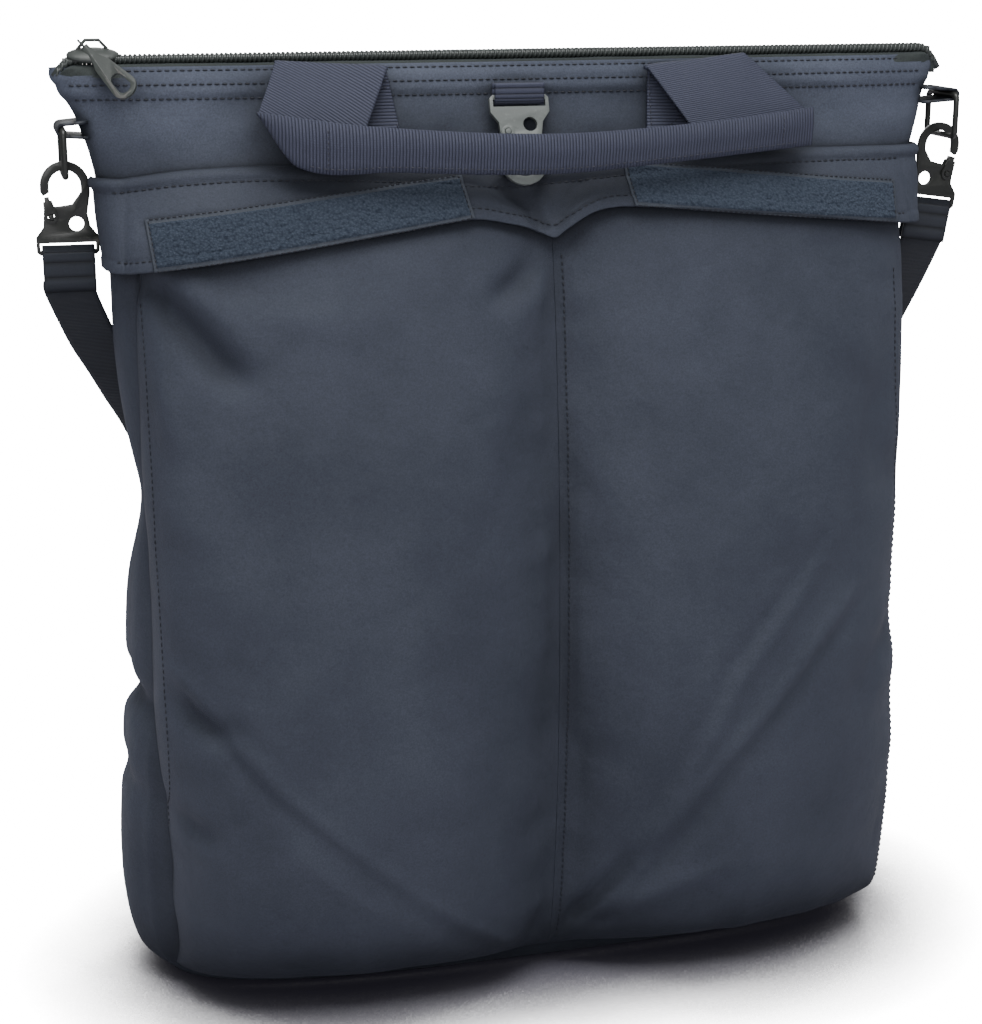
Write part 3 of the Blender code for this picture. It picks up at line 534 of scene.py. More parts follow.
def easeKeys(keys, at):
    # smooth values between keyed rows, each a position and its values
    if at <= keys[0][0]:
        return keys[0][1:]
    if at >= keys[-1][0]:
        return keys[-1][1:]
    index = next(i for i in range(len(keys) - 1) if keys[i + 1][0] >= at)
    low, high = keys[index], keys[index + 1]
    before, after = keys[max(index - 1, 0)], keys[min(index + 2, len(keys) - 1)]
    span = high[0] - low[0]
    t = (at - low[0]) / span
    found = []
    for i in range(1, len(low)):
        slopeLow = (high[i] - before[i]) / (high[0] - before[0]) * span
        slopeHigh = (after[i] - low[i]) / (after[0] - low[0]) * span
        found.append(
            (2 * t**3 - 3 * t**2 + 1) * low[i]
            + (t**3 - 2 * t**2 + t) * slopeLow
            + (3 * t**2 - 2 * t**3) * high[i]
            + (t**3 - t**2) * slopeHigh
        )
    return tuple(found)


def route(points, t):
    keys = tuple((i / (len(points) - 1), *point) for i, point in enumerate(points))
    return Vector(easeKeys(keys, t))


def bodyPoint(angle, z):
    halfWidth, halfDepth = easeKeys(body["profile"], z)
    power = 2.0 / body["squareness"]
    x = halfWidth * abs(cos(angle)) ** power
    y = halfDepth * abs(sin(angle)) ** power
    return Vector((x if cos(angle) >= 0 else -x, y if sin(angle) >= 0 else -y, z))


def frontDepth(x, z):
    halfWidth, halfDepth = easeKeys(body["profile"], z)
    share = min(abs(x) / halfWidth, 1.0)
    return halfDepth * (1.0 - share ** body["squareness"]) ** (1.0 / body["squareness"])


def frontAt(x, z, offset):
    return Vector((x, -frontDepth(x, z) - offset, z))


def sideShift(x, y, z):
    # how far the cloth near each side stands out from the plain shape, as the stuffed bag leans;
    # on the right only the front half does, which keeps clear of the hook
    share = min(abs(x) / easeKeys(body["profile"], z)[0], 1.0) ** 4
    if x < 0:
        return -share * easeKeys(lean["left"], z)[0]
    return share * easeKeys(lean["right"], z)[0] * min(max((-y - 0.004) / 0.014, 0.0), 1.0)


def leaning(point):
    return Vector((point.x + sideShift(point.x, point.y, point.z), point.y, point.z))


def pocketHalves():
    return (pocket["side"] + pocket["seam"]) / 2, (pocket["side"] - pocket["seam"]) / 2


def pocketSeam(z):
    # the seam between the pockets is pulled to the right as it rises
    return 0.0030 + 0.0150 * z


def pocketProfile(x):
    middle, reach = pocketHalves()
    share = min((abs(x) - middle) / reach, 1.0)
    if share > 0:
        return (1.0 - share**3.6) ** (1.0 / 3.6)
    return 1.0 - pocket["valley"] * exp(-((abs(x) / pocket["valleyWidth"]) ** 1.4))


def flapEdge(x):
    return easeKeys(flap["edge"], x)[0]


def flapRidge(x):
    return easeKeys(flap["ridge"], x)[0]


def pocketOffset(x, z):
    return pocket["step"] + easeKeys(pocket["depth"], z)[0] * pocketProfile(x)


def flapOffset(x, z):
    spreadShare = max(pocketProfile(abs(x) - flap["spread"]), pocketProfile(abs(x) + flap["spread"]))
    edge = flapEdge(x)
    low = pocket["step"] + easeKeys(pocket["depth"], edge)[0] * spreadShare + 0.0034
    share = (z - edge) / (flapRidge(x) - edge)
    return low + (flap["step"] - low) * min(max(share, 0.0), 1.0) ** 1.4


# Cloth helpers

def creaseField(x, z, creases):
    # rise of the cloth at each (x, z), from a list of folds; a fold is a line with a width, a rise
    # along it, and the rise of its far and near sides
    total = np.zeros_like(x)
    for fold in creases:
        points = fold["line"]
        lengths = [np.hypot(b[0] - a[0], b[1] - a[1]) for a, b in zip(points, points[1:])]
        whole = sum(lengths)
        best = np.full_like(x, 1e9)
        signed = np.zeros_like(x)
        along = np.zeros_like(x)
        run = 0.0
        for (a, b), length in zip(zip(points, points[1:]), lengths):
            dx, dz = (b[0] - a[0]) / length, (b[1] - a[1]) / length
            t = np.clip((x - a[0]) * dx + (z - a[1]) * dz, 0.0, length)
            awayX, awayZ = x - a[0] - t * dx, z - a[1] - t * dz
            distance = np.hypot(awayX, awayZ)
            side = np.sign(awayZ * dx - awayX * dz)
            nearer = distance < best
            best = np.where(nearer, distance, best)
            signed = np.where(nearer, distance * side, signed)
            along = np.where(nearer, (run + t) / whole, along)
            run += length
        fade = np.clip(np.minimum(along, 1.0 - along) / fold["fade"], 0.0, 1.0)
        fade = fade * fade * (3 - 2 * fade)
        if fold.get("open") == "start":
            fade = np.where(along < 0.5, 1.0, fade)
        width = fold["width"]
        total += fade * fold["rise"] * np.exp(-((signed / width) ** 2))
        total += fade * fold.get("far", 0.0) * np.exp(-(((signed - 1.9 * width) / (1.3 * width)) ** 2))
        total += fade * fold.get("near", 0.0) * np.exp(-(((signed + 1.9 * width) / (1.3 * width)) ** 2))
    return total


def noiseField(coords, size, seed, stretch=(1.0, 1.0, 1.0)):
    # smooth noise of about -1 to 1, whose lumps are size metres across
    shift = Vector((seed * 7.13, seed * 3.71, seed * 5.29))
    found = np.empty(len(coords))
    for i, (x, y, z) in enumerate(coords):
        found[i] = noise.noise(Vector((x * stretch[0], y * stretch[1], z * stretch[2])) / size + shift)
    return found * 1.6


def linkMesh(name, mesh, slots):
    for slotName in slots:
        mesh.materials.append(materials[slotName])
    obj = bpy.data.objects.new(name, mesh)
    bpy.context.scene.collection.objects.link(obj)
    return obj


def gridCloth(name, place, across, along, slotName, loop=False, size=None):
    # a cloth surface from place(u, v), with UVs in metres; loop joins its two sides
    columns = across if loop else across + 1
    coords = [place(i / across, j / along) for j in range(along + 1) for i in range(columns)]
    faces = []
    for j in range(along):
        for i in range(across):
            right = (i + 1) % columns
            faces.append(
                (j * columns + i, j * columns + right, (j + 1) * columns + right, (j + 1) * columns + i)
            )
    mesh = bpy.data.meshes.new(name)
    mesh.from_pydata(coords, [], faces)
    if size is None:
        middle = [coords[(along // 2) * columns + i] for i in range(columns)]
        column = [coords[j * columns + columns // 2] for j in range(along + 1)]
        size = (
            sum((b - a).length for a, b in zip(middle, middle[1:])),
            sum((b - a).length for a, b in zip(column, column[1:])),
        )
    layer = mesh.uv_layers.new(name="UVMap")
    spots = []
    for j in range(along):
        for i in range(across):
            for du, dv in ((0, 0), (1, 0), (1, 1), (0, 1)):
                spots += [(i + du) / across * size[0], (j + dv) / along * size[1]]
    layer.data.foreach_set("uv", spots)
    mesh.shade_smooth()
    return linkMesh(name, mesh, [slotName])


def slant(obj, amount):
    # turns a webbing's ribs, by letting its UVs fall across its width
    layer = obj.data.uv_layers[0].data
    spots = np.empty(len(layer) * 2)
    layer.foreach_get("uv", spots)
    spots[1::2] += spots[0::2] * amount
    layer.foreach_set("uv", spots)


def vertexArrays(obj):
    mesh = obj.data
    coords = np.empty(len(mesh.vertices) * 3)
    mesh.vertices.foreach_get("co", coords)
    normals = np.empty(len(mesh.vertices) * 3)
    mesh.vertices.foreach_get("normal", normals)
    return coords.reshape(-1, 3), normals.reshape(-1, 3)


def raiseCloth(obj, amount):
    # moves each vertex along its normal; amount(coords) gives the rise in metres
    coords, normals = vertexArrays(obj)
    coords += normals * amount(coords)[:, None]
    obj.data.vertices.foreach_set("co", coords.ravel())
    obj.data.update()
    return obj


def applyAll(obj):
    bpy.context.view_layer.update()
    graph = bpy.context.evaluated_depsgraph_get()
    mesh = bpy.data.meshes.new_from_object(
        obj.evaluated_get(graph), preserve_all_data_layers=True, depsgraph=graph,
    )
    obj.modifiers.clear()
    obj.data = mesh
    return obj


def thicken(obj, thickness, offset=-1.0):
    made = obj.modifiers.new("thickness", "SOLIDIFY")
    made.thickness = thickness
    made.offset = offset
    made.use_even_offset = False
    return applyAll(obj)


def settle(obj, bodyName, slotName, *nodes):
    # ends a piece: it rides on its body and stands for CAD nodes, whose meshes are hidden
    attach(obj, bodyName)
    if nodes:
        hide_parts(*nodes)
    return obj


def surfaceOf(*objs):
    # what seams are dropped onto: the finished surface of these pieces together
    coords, faces = [], []
    for obj in objs:
        start = len(coords)
        coords += [vert.co.copy() for vert in obj.data.vertices]
        faces += [[start + index for index in face.vertices] for face in obj.data.polygons]
    return BVHTree.FromPolygons(coords, faces)


def dropLine(tree, points, direction=(0.0, 1.0, 0.0), step=0.0010):
    # a line through (x, z) or (y, z) points, laid on a surface along direction: places and normals
    direction = Vector(direction)
    places = []
    for a, b in zip(points, points[1:]):
        count = max(int((Vector(b) - Vector(a)).length / step), 1)
        places += [Vector(a).lerp(Vector(b), i / count) for i in range(count)]
    places.append(Vector(points[-1]))
    found = []
    for flat in places:
        start = (
            Vector((flat[0], 0.0, flat[1]))
            if abs(direction.y) > 0.5
            else Vector((0.0, flat[0], flat[1]))
        )
        hit, normal = tree.ray_cast(start - direction, direction)[:2]
        if hit is not None:
            found.append((hit, normal if normal.dot(direction) < 0 else -normal))
    return found


sewing = {
    "radius": 0.00034, "rise": 0.00022, "share": 0.70, "pitch": 0.0036,
    "tapePitch": 0.0028, "pocketPitch": 0.0034, "anchorPitch": 0.0030, "foldPitch": 0.0032,
    "tackPitch": 0.0026, "tackRadius": 0.0003, "tackRise": 0.0004,
}


class ThreadWork:
    # collects stitches and makes them one mesh

    def __init__(self):
        self.coords = []
        self.faces = []

    def stitch(self, a, b, normal, radius, rise):
        sides = 5
        line = (b - a)
        if line.length < 1e-6:
            return
        heading = line.normalized()
        side = heading.cross(normal).normalized()
        rings = []
        for t, lift, thick in (
            (0.0, -0.5, 0.35), (0.15, 0.4, 0.9), (0.5, 1.0, 1.0), (0.85, 0.4, 0.9), (1.0, -0.5, 0.35),
        ):
            centre = a + line * t + normal * rise * lift
            ring = []
            for k in range(sides):
                turn = 2 * pi * k / sides
                ring.append(len(self.coords))
                self.coords.append(centre + (side * cos(turn) + normal * sin(turn)) * radius * thick)
            rings.append(ring)
        for low, high in zip(rings, rings[1:]):
            for k in range(sides):
                self.faces.append((low[k], low[(k + 1) % sides], high[(k + 1) % sides], high[k]))
        self.faces.append(tuple(reversed(rings[0])))
        self.faces.append(tuple(rings[-1]))

    def run(self, line, pitch=sewing["pitch"], radius=sewing["radius"], rise=sewing["rise"]):
        # stitches along a dropped line of (place, normal)
        travelled, marks = 0.0, [0.0]
        for (a, _), (b, _) in zip(line, line[1:]):
            step = (b - a).length
            travelled += step if step < 0.006 else 0.0
            marks.append(travelled)
        count = int(travelled / pitch)
        index = 0
        for i in range(count):
            ends = []
            for at in (i * pitch, (i + sewing["share"]) * pitch):
                while index < len(marks) - 2 and marks[index + 1] < at:
                    index += 1
                span = max(marks[index + 1] - marks[index], 1e-9)
                t = min(max((at - marks[index]) / span, 0.0), 1.0)
                (a, normalA), (b, normalB) = line[index], line[index + 1]
                ends.append((a.lerp(b, t), normalA.lerp(normalB, t).normalized()))
            if (ends[0][0] - ends[1][0]).length < pitch:
                self.stitch(ends[0][0], ends[1][0], ends[0][1], radius, rise)

    def make(self, name, slotName):
        mesh = bpy.data.meshes.new(name)
        mesh.from_pydata(self.coords, [], self.faces)
        mesh.shade_smooth()
        return linkMesh(name, mesh, [slotName])


# Body shell

def buildBody():
    shell = {
        "around": 300, "up": 190, "baseShare": 0.08, "thickness": 0.0012, "seamAngle": 24.0,
        "leftDents": (
            {"z": 0.163, "size": 0.010, "in": 0.0085}, {"z": 0.262, "size": 0.030, "in": 0.0060},
            {"z": 0.118, "size": 0.008, "in": 0.0030},
        ),
        "rightDents": (
            {"z": 0.215, "size": 0.040, "in": 0.0070}, {"z": 0.150, "size": 0.012, "in": 0.0035},
            {"z": 0.330, "size": 0.016, "in": 0.0025},
        ),
    }
    seam = radians(shell["seamAngle"])
    # angles at equal steps round the plan, so that the cloth's grid is even
    fine = [2 * pi * i / 4000 for i in range(4001)]
    ring = [bodyPoint(a, 0.25) for a in fine]
    run = np.concatenate([[0.0], np.cumsum([(b - a).length for a, b in zip(ring, ring[1:])])])
    angles = np.interp(np.linspace(0.0, run[-1], shell["around"] + 1), run, fine)
    perimeter = run[-1]

    def place(u, v):
        angle = angles[round(u * shell["around"])]
        if v < shell["baseShare"]:  # the base, from its middle out to the rim
            share = v / shell["baseShare"]
            point = bodyPoint(angle, 0.0)
            return Vector((point.x * share, point.y * share, body["base"] + 0.0006 * (1 - share)))
        z = (
            body["base"]
            + (body["top"] - body["base"]) * ((v - shell["baseShare"]) / (1 - shell["baseShare"])) ** 1.05
        )
        return leaning(bodyPoint(angle, z))

    obj = gridCloth(
        "bodyShell", place, shell["around"], shell["up"], "shell", loop=True, size=(perimeter, 0.53),
    )

    def amount(coords):
        x, y, z = coords.T
        side = np.clip((np.abs(x) - 0.12) / 0.07, 0.0, 1.0)
        inside = np.clip((z - 0.02) / 0.04, 0.0, 1.0) * np.clip((0.462 - z) / 0.03, 0.0, 1.0)
        rise = (
            0.0022 * noiseField(coords, 0.080, 1) + 0.0011 * noiseField(coords, 0.028, 2, (1.0, 1.0, 0.45))
        )
        rise = (rise - 0.0012) * side * inside
        for dents, sign in ((shell["leftDents"], -1), (shell["rightDents"], 1)):
            reach = np.clip((sign * x - 0.15) / 0.05, 0.0, 1.0)
            for dent in dents:
                bump = np.exp(-(((z - dent["z"]) + 0.25 * np.abs(y)) / dent["size"]) ** 2)
                rise -= dent["in"] * bump * reach
        rise = np.where(z < 0.004, np.minimum(rise, 0.0), rise)
        # a seam ridge where each gusset joins the front and the back
        for sign in (-1, 1):
            for turn in (seam, -seam):
                halves = np.array([easeKeys(body["profile"], height)[:2] for height in z])
                edgeY = halves[:, 1] * np.sin(abs(turn)) ** (2 / 3) * (1 if turn > 0 else -1)
                gap = np.where(sign * x > 0.1, y - edgeY, 1.0)
                rise += 0.0011 * np.exp(-((gap / 0.0016) ** 2)) * (z > 0.006)
        return rise

    raiseCloth(obj, amount)
    thicken(obj, shell["thickness"])
    settle(obj, "root", "shell", "front_panel", "back_panel", "gusset_left", "gusset_right", "base_panel")


def buildYokes():
    yoke = {
        "foot": 0.4180, "top": 0.4738, "offset": 0.0022, "rows": (0.4718, 0.4655, 0.4588), "bulge": 0.0011,
        "thickness": 0.0009, "fullDepth": 0.0125,
    }
    made = {}
    for name, sign in (("yokeFront", -1), ("yokeBack", 1)):

        def place(u, v):
            z = yoke["foot"] + (yoke["top"] - yoke["foot"]) * v
            halfWidth = easeKeys(body["profile"], z)[0] + 0.0014
            x = halfWidth * sin(pi / 2 * 0.985 * (2 * u - 1))
            # the top edge tips towards the zipper
            inwards = 0.0030 * min(max((z - 0.466) / 0.008, 0.0), 1.0)
            depth = frontDepth(x * 0.9935, z)
            depth += yoke["offset"] * min(depth / yoke["fullDepth"], 1.0)
            point = Vector((x, inwards - depth, z))
            return leaning(point if sign < 0 else Vector((-point.x, -point.y, point.z)))

        obj = gridCloth(name, place, 300, 50, "shell")

        def amount(coords):
            z = coords.T[2]
            rise = np.zeros_like(z)
            rows = yoke["rows"]
            for low, high in zip(rows[1:], rows):
                share = np.clip((z - low) / (high - low), 0.0, 1.0)
                rise += (
                    yoke["bulge"] * np.sin(pi * share) ** 0.8 * (0.8 + 0.35 * noiseField(coords, 0.035, 4))
                )
            share = np.clip((rows[-1] - z) / 0.030, 0.0, 1.0)
            loose = np.sin(pi * share)
            rise += loose * (0.0009 * noiseField(coords, 0.050, 5) + 0.0005 * noiseField(coords, 0.018, 6))
            return rise

        raiseCloth(obj, amount)
        thicken(obj, yoke["thickness"])
        settle(obj, "root", "shell", "front_yoke" if sign < 0 else "back_yoke")
        made[name] = obj
    return made, yoke["rows"]


def buildPockets():
    creases = {
        "left": (
            {
                "line": ((-0.197, 0.380), (-0.180, 0.361), (-0.162, 0.341), (-0.138, 0.322)),
                "width": 0.0085, "rise": -0.0075, "far": 0.0032, "fade": 0.35, "open": "start",
            },
            {
                "line": ((-0.186, 0.374), (-0.149, 0.361), (-0.100, 0.356), (-0.060, 0.358)),
                "width": 0.0095, "rise": 0.0026, "fade": 0.5,
            },
            {
                "line": ((-0.194, 0.352), (-0.186, 0.320), (-0.182, 0.285)), "width": 0.008, "rise": 0.0030,
                "near": -0.002, "fade": 0.4,
            },
            {
                "line": (
                    (-0.192, 0.192), (-0.182, 0.183), (-0.139, 0.131), (-0.0755, 0.071), (-0.012, 0.020),
                ),
                "width": 0.0040, "rise": 0.0015, "near": -0.0008, "fade": 0.12, "open": "start",
            },
            {
                "line": ((-0.186, 0.178), (-0.157, 0.1415), (-0.0957, 0.0845), (-0.045, 0.046)),
                "width": 0.0036, "rise": -0.0009, "fade": 0.3,
            },
            {
                "line": ((-0.150, 0.115), (-0.110, 0.077), (-0.070, 0.048)), "width": 0.0040,
                "rise": 0.0010, "fade": 0.4,
            },
            {
                "line": ((-0.195, 0.116), (-0.168, 0.103)), "width": 0.006, "rise": -0.0030, "fade": 0.4,
                "open": "start",
            },
            {
                "line": ((-0.196, 0.176), (-0.178, 0.166), (-0.150, 0.160)), "width": 0.007,
                "rise": -0.0048, "fade": 0.5, "open": "start",
            },
            {
                "line": ((0.002, 0.386), (-0.012, 0.371), (-0.034, 0.358)), "width": 0.0070,
                "rise": -0.0048, "far": 0.0016, "fade": 0.5, "open": "start",
            },
            {
                "line": ((-0.010, 0.330), (-0.030, 0.300), (-0.040, 0.250)), "width": 0.012, "rise": 0.0020,
                "fade": 0.5,
            },
        ),
        "right": (
            {
                "line": ((0.006, 0.018), (0.020, 0.037), (0.071, 0.115), (0.140, 0.194), (0.172, 0.226)),
                "width": 0.0046, "rise": 0.0021, "near": -0.0018, "fade": 0.18, "open": "start",
            },
            {
                "line": ((0.018, 0.040), (0.0480, 0.086), (0.0916, 0.172), (0.1437, 0.235), (0.165, 0.262)),
                "width": 0.0042, "rise": 0.0015, "far": -0.0008, "fade": 0.3,
            },
            {
                "line": ((0.004, 0.018), (0.014, 0.034), (0.039, 0.071), (0.060, 0.096)), "width": 0.0058,
                "rise": -0.0060, "fade": 0.45, "open": "start",
            },
            {
                "line": ((0.012, 0.030), (0.060, 0.060), (0.110, 0.076)), "width": 0.0070, "rise": 0.0024,
                "fade": 0.45,
            },
            {
                "line": ((0.004, 0.384), (0.014, 0.386), (0.030, 0.396)), "width": 0.0060, "rise": -0.0040,
                "fade": 0.4, "open": "start",
            },
            {
                "line": ((0.195, 0.330), (0.178, 0.300), (0.170, 0.255)), "width": 0.009, "rise": -0.0022,
                "far": 0.0014, "fade": 0.4,
            },
            {
                "line": ((0.194, 0.190), (0.172, 0.170), (0.150, 0.140)), "width": 0.008, "rise": -0.0025,
                "fade": 0.4, "open": "start",
            },
        ),
    }
    # how far the left pocket's outer side stands beyond its plain shape, by height
    spreads = (
        (0.0, 0.0040), (0.030, 0.0050), (0.090, 0.0030), (0.163, -0.0010), (0.210, 0.0010), (0.300, 0.0),
        (0.400, 0.0030),
    )
    made = {}
    for side, sign in (("left", -1), ("right", 1)):

        def place(u, v):
            middle, reach = pocketHalves()
            x = sign * middle + reach * sin(pi / 2 * (2 * u - 1))
            mouth = flapEdge(x) + pocket["cover"]
            z = pocket["foot"] + (mouth - pocket["foot"]) * v**1.2
            point = leaning(frontAt(x, z, pocketOffset(x, z)))
            point.x += easeKeys(spreads, z)[0] * (x < 0) * (abs(x) / pocket["side"]) ** 3
            point.x += pocketSeam(z) * (1 - abs(x) / pocket["side"]) ** 1.5
            return point

        obj = gridCloth(f"pocket{side.capitalize()}", place, 110, 200, "shell")

        def amount(coords):
            x, z = coords.T[[0, 2]]
            outer = np.clip((pocket["side"] - np.abs(x)) / 0.012, 0.0, 1.0)
            seamX = pocketSeam(z)
            inner = np.clip(np.abs(x - seamX) / 0.010, 0.0, 1.0)
            foot = np.clip((z - pocket["foot"] - 0.002) / 0.018, 0.0, 1.0)
            held = np.minimum(np.minimum(outer + 0.12, 1.0), np.minimum(inner, foot))
            top = np.clip((0.400 - z) / 0.030, 0.0, 1.0)
            rise = creaseField(x, z, creases[side]) * np.maximum(top, 0.35)
            rise += (
                (
                    0.0024 * noiseField(coords, 0.110, 11 + sign)
                    + 0.0008 * noiseField(coords, 0.040, 13 + sign)
                )
                * top
            )
            nearSide = np.exp(-(((pocket["side"] - np.abs(x)) / 0.022) ** 2))
            rise += 0.0022 * nearSide * noiseField(coords, 0.020, 15 + sign, (0.25, 0.25, 1.0))
            nearSeam = np.exp(-(((np.abs(x - seamX) - 0.004) / 0.016) ** 2))
            rise += 0.0013 * nearSeam * noiseField(coords, 0.016, 17 + sign, (0.3, 0.3, 1.0))
            nearFoot = np.exp(-(((z - 0.020) / 0.020) ** 2))
            rise += 0.0022 * nearFoot * noiseField(coords, 0.018, 19 + sign, (1.0, 0.3, 0.3))
            return rise * held

        raiseCloth(obj, amount)
        made[side] = obj
    for side, obj in made.items():
        thicken(obj, pocket["thickness"])
        settle(obj, "root", "shell", f"pocket_{side}")
    return made


def buildFlap():
    cloth = {"straight": 0.90, "thickness": 0.0010, "hem": 0.0052, "hemRise": 0.0005, "roll": 0.0020}
    folds = (
        {
            "line": ((-0.030, 0.4240), (-0.018, 0.4160), (-0.004, 0.4060), (0.006, 0.3940)),
            "width": 0.0042, "rise": -0.0026, "near": 0.0012, "fade": 0.10, "open": "start",
        },
        {
            "line": ((0.030, 0.4190), (0.016, 0.4080), (0.007, 0.3950)), "width": 0.0040, "rise": -0.0016,
            "far": 0.0010, "fade": 0.2,
        },
        {"line": ((-0.199, 0.3990), (-0.150, 0.4080)), "width": 0.0040, "rise": -0.0010, "fade": 0.4},
    )

    def place(u, v):
        # the last part at each end wraps round to the bag's side
        x = flap["side"] * (2 * u - 1) / cloth["straight"]
        inner = min(max(x, -flap["side"]), flap["side"])
        z = flapEdge(inner) + (flapRidge(inner) - flapEdge(inner)) * v
        if inner == x:
            return leaning(frontAt(x, z, flapOffset(x, z)))
        share = (abs(x) - flap["side"]) / (flap["side"] / cloth["straight"] - flap["side"])
        side = easeKeys(body["profile"], z)[0] + 0.0036
        a = frontAt(inner, z, flapOffset(inner, z))
        sign = 1 if x > 0 else -1
        turn = pi / 2 * share
        return leaning(
            Vector(
                (
                    sign * (flap["side"] + (side - flap["side"]) * sin(turn)),
                    a.y * (0.12 + 0.88 * cos(turn)), z,
                )
            )
        )

    obj = gridCloth("pocketFlap", place, 340, 44, "shell")

    def amount(coords):
        x, z = coords.T[[0, 2]]
        edges = np.array([flapEdge(value) for value in x])
        ridges = np.array([flapRidge(value) for value in x])
        rise = creaseField(x, z, folds)
        fromTop = ridges - z
        # the rolled seam along the top
        rise += cloth["roll"] * np.sin(pi * np.clip(fromTop / 0.0062, 0.0, 1.0)) ** 0.7
        fromEdge = z - edges
        rise += cloth["hemRise"] * (fromEdge < cloth["hem"] + 0.0004)
        rise -= 0.0004 * np.exp(-(((fromEdge - cloth["hem"]) / 0.0009) ** 2))
        rise += 0.0007 * noiseField(coords, 0.030, 23) * np.clip(fromTop / 0.01, 0.0, 1.0)
        return rise

    raiseCloth(obj, amount)
    thicken(obj, cloth["thickness"])
    settle(obj, "root", "shell", "pocket_flap")
    return obj


def buildTapes(flapTree):
    # pile tapes on the flap, each with its woven selvage, and hook tapes inside the pockets' mouths
    tape = {
        "left": ((-0.1870, 0.3812), (-0.0325, 0.4022), (-0.0360, 0.4218), (-0.1895, 0.4046)),
        "right": ((0.0490, 0.4056), (0.1945, 0.3915), (0.1970, 0.4118), (0.0475, 0.4262)),
        "rise": 0.0011, "pile": 0.0009, "border": 0.0016, "bevel": 0.0008, "thickness": 0.0008,
        "length": 0.155, "width": 0.021, "columns": 330, "rows": 46,
        "hook": {"start": 0.036, "length": 0.130, "width": 0.016, "below": 0.003, "inside": 0.0022},
    }
    columns, rows = tape["columns"], tape["rows"]

    def inwardOf(u, v):
        # how far a place on the tape is from its nearest edge
        return np.minimum(
            np.minimum(u * tape["length"], (1 - u) * tape["length"]),
            np.minimum(v * tape["width"], (1 - v) * tape["width"]),
        )

    outlines = {}
    for side in ("left", "right"):
        lowLeft, lowRight, highRight, highLeft = [Vector(point) for point in tape[side]]
        outlines[side] = tape[side]

        def onFlap(u, v, lift):
            flat = lowLeft.lerp(lowRight, u).lerp(highLeft.lerp(highRight, u), v)
            hit = flapTree.ray_cast(Vector((flat.x, -1.0, flat.y)), Vector((0.0, 1.0, 0.0)))[0]
            if hit is None:
                return frontAt(flat.x, flat.y, flapOffset(flat.x, flat.y) + lift)
            return Vector((flat.x, hit.y - lift, flat.y))

        obj = gridCloth(
            f"pileTape{side.capitalize()}", lambda u, v: onFlap(u, v, tape["rise"]), columns, rows, "pile",
        )
        obj.data.materials.append(materials["selvage"])

        def amount(coords):
            rise = (
                0.00035 * noiseField(coords, 0.0016, 31) + 0.0003 * noiseField(coords, 0.006, 32)
                + 0.0002 * noiseField(coords, 0.0009, 33)
            )
            index = np.arange(len(coords))
            inward = inwardOf((index % (columns + 1)) / columns, (index // (columns + 1)) / rows)
            inside = np.clip((inward - tape["border"]) / tape["bevel"], 0.0, 1.0)
            return (rise + tape["pile"]) * inside

        raiseCloth(obj, amount)
        for face in obj.data.polygons:
            i, j = face.index % columns, face.index // columns
            inward = inwardOf((i + 0.5) / columns, (j + 0.5) / rows)
            face.material_index = 1 if inward < tape["border"] else 0
        thicken(obj, tape["thickness"])
        settle(obj, "root", "pile", f"pile_tape_{side}")

        sign = -1 if side == "left" else 1

        def hookPlace(u, v):
            x = sign * tape["hook"]["start"] + tape["hook"]["length"] * (u if sign > 0 else u - 1)
            z = flapEdge(x) + pocket["cover"] - tape["hook"]["below"] - tape["hook"]["width"] * (1 - v)
            return frontAt(x, z, pocketOffset(x, z) - tape["hook"]["inside"])

        hook = gridCloth(f"hookTape{side.capitalize()}", hookPlace, 60, 8, "pile")
        thicken(hook, tape["thickness"])
        settle(hook, "root", "pile", f"hook_tape_{side}")
    return outlines


def buildLinings():
    lining = {
        "foot": 0.014, "height": 0.440, "insetWidth": 0.0150, "insetDepth": 0.0044, "thickness": 0.0009,
    }
    for name, sign, node in (("liningFront", -1, "lining_front"), ("liningBack", 1, "lining_back")):

        def place(u, v):
            z = lining["foot"] + lining["height"] * v
            halfWidth, halfDepth = easeKeys(body["profile"], z)
            halfWidth, halfDepth = halfWidth - lining["insetWidth"], halfDepth - lining["insetDepth"]
            share = 0.996 * sin(pi / 2 * (2 * u - 1))
            y = halfDepth * (1.0 - abs(share) ** body["squareness"]) ** (1.0 / body["squareness"])
            return Vector((halfWidth * share, -y, z)) if sign < 0 else Vector((-halfWidth * share, y, z))

        obj = gridCloth(name, place, 60, 60, "lining")
        raiseCloth(obj, lambda coords: -0.0006 * np.abs(noiseField(coords, 0.05, 41)))
        thicken(obj, lining["thickness"])
        settle(obj, "root", "lining", node)


# Zipper

def tubeMesh(name, paths, radius, sides, slotName, closed=False, upAxis=(0.0, 0.0, 1.0)):
    # a tube along each path, all in one mesh
    coords, faces = [], []
    for path in paths:
        count = len(path)
        rings = []
        for i, point in enumerate(path):
            before = path[i - 1] if closed or i > 0 else path[0]
            after = path[(i + 1) % count] if closed or i < count - 1 else path[-1]
            heading = (Vector(after) - Vector(before)).normalized()
            side = heading.cross(Vector(upAxis))
            side = side.normalized() if side.length > 1e-6 else Vector((1.0, 0.0, 0.0))
            up = side.cross(heading).normalized()
            ring = []
            for k in range(sides):
                turn = 2 * pi * k / sides
                ring.append(len(coords))
                coords.append(Vector(point) + side * cos(turn) * radius + up * sin(turn) * radius)
            rings.append(ring)
        pairs = list(zip(rings, rings[1:])) + ([(rings[-1], rings[0])] if closed else [])
        for low, high in pairs:
            for k in range(sides):
                faces.append((low[k], low[(k + 1) % sides], high[(k + 1) % sides], high[k]))
        if not closed:
            faces.append(tuple(reversed(rings[0])))
            faces.append(tuple(rings[-1]))
    mesh = bpy.data.meshes.new(name)
    mesh.from_pydata([tuple(point) for point in coords], [], faces)
    mesh.shade_smooth()
    return linkMesh(name, mesh, [slotName])


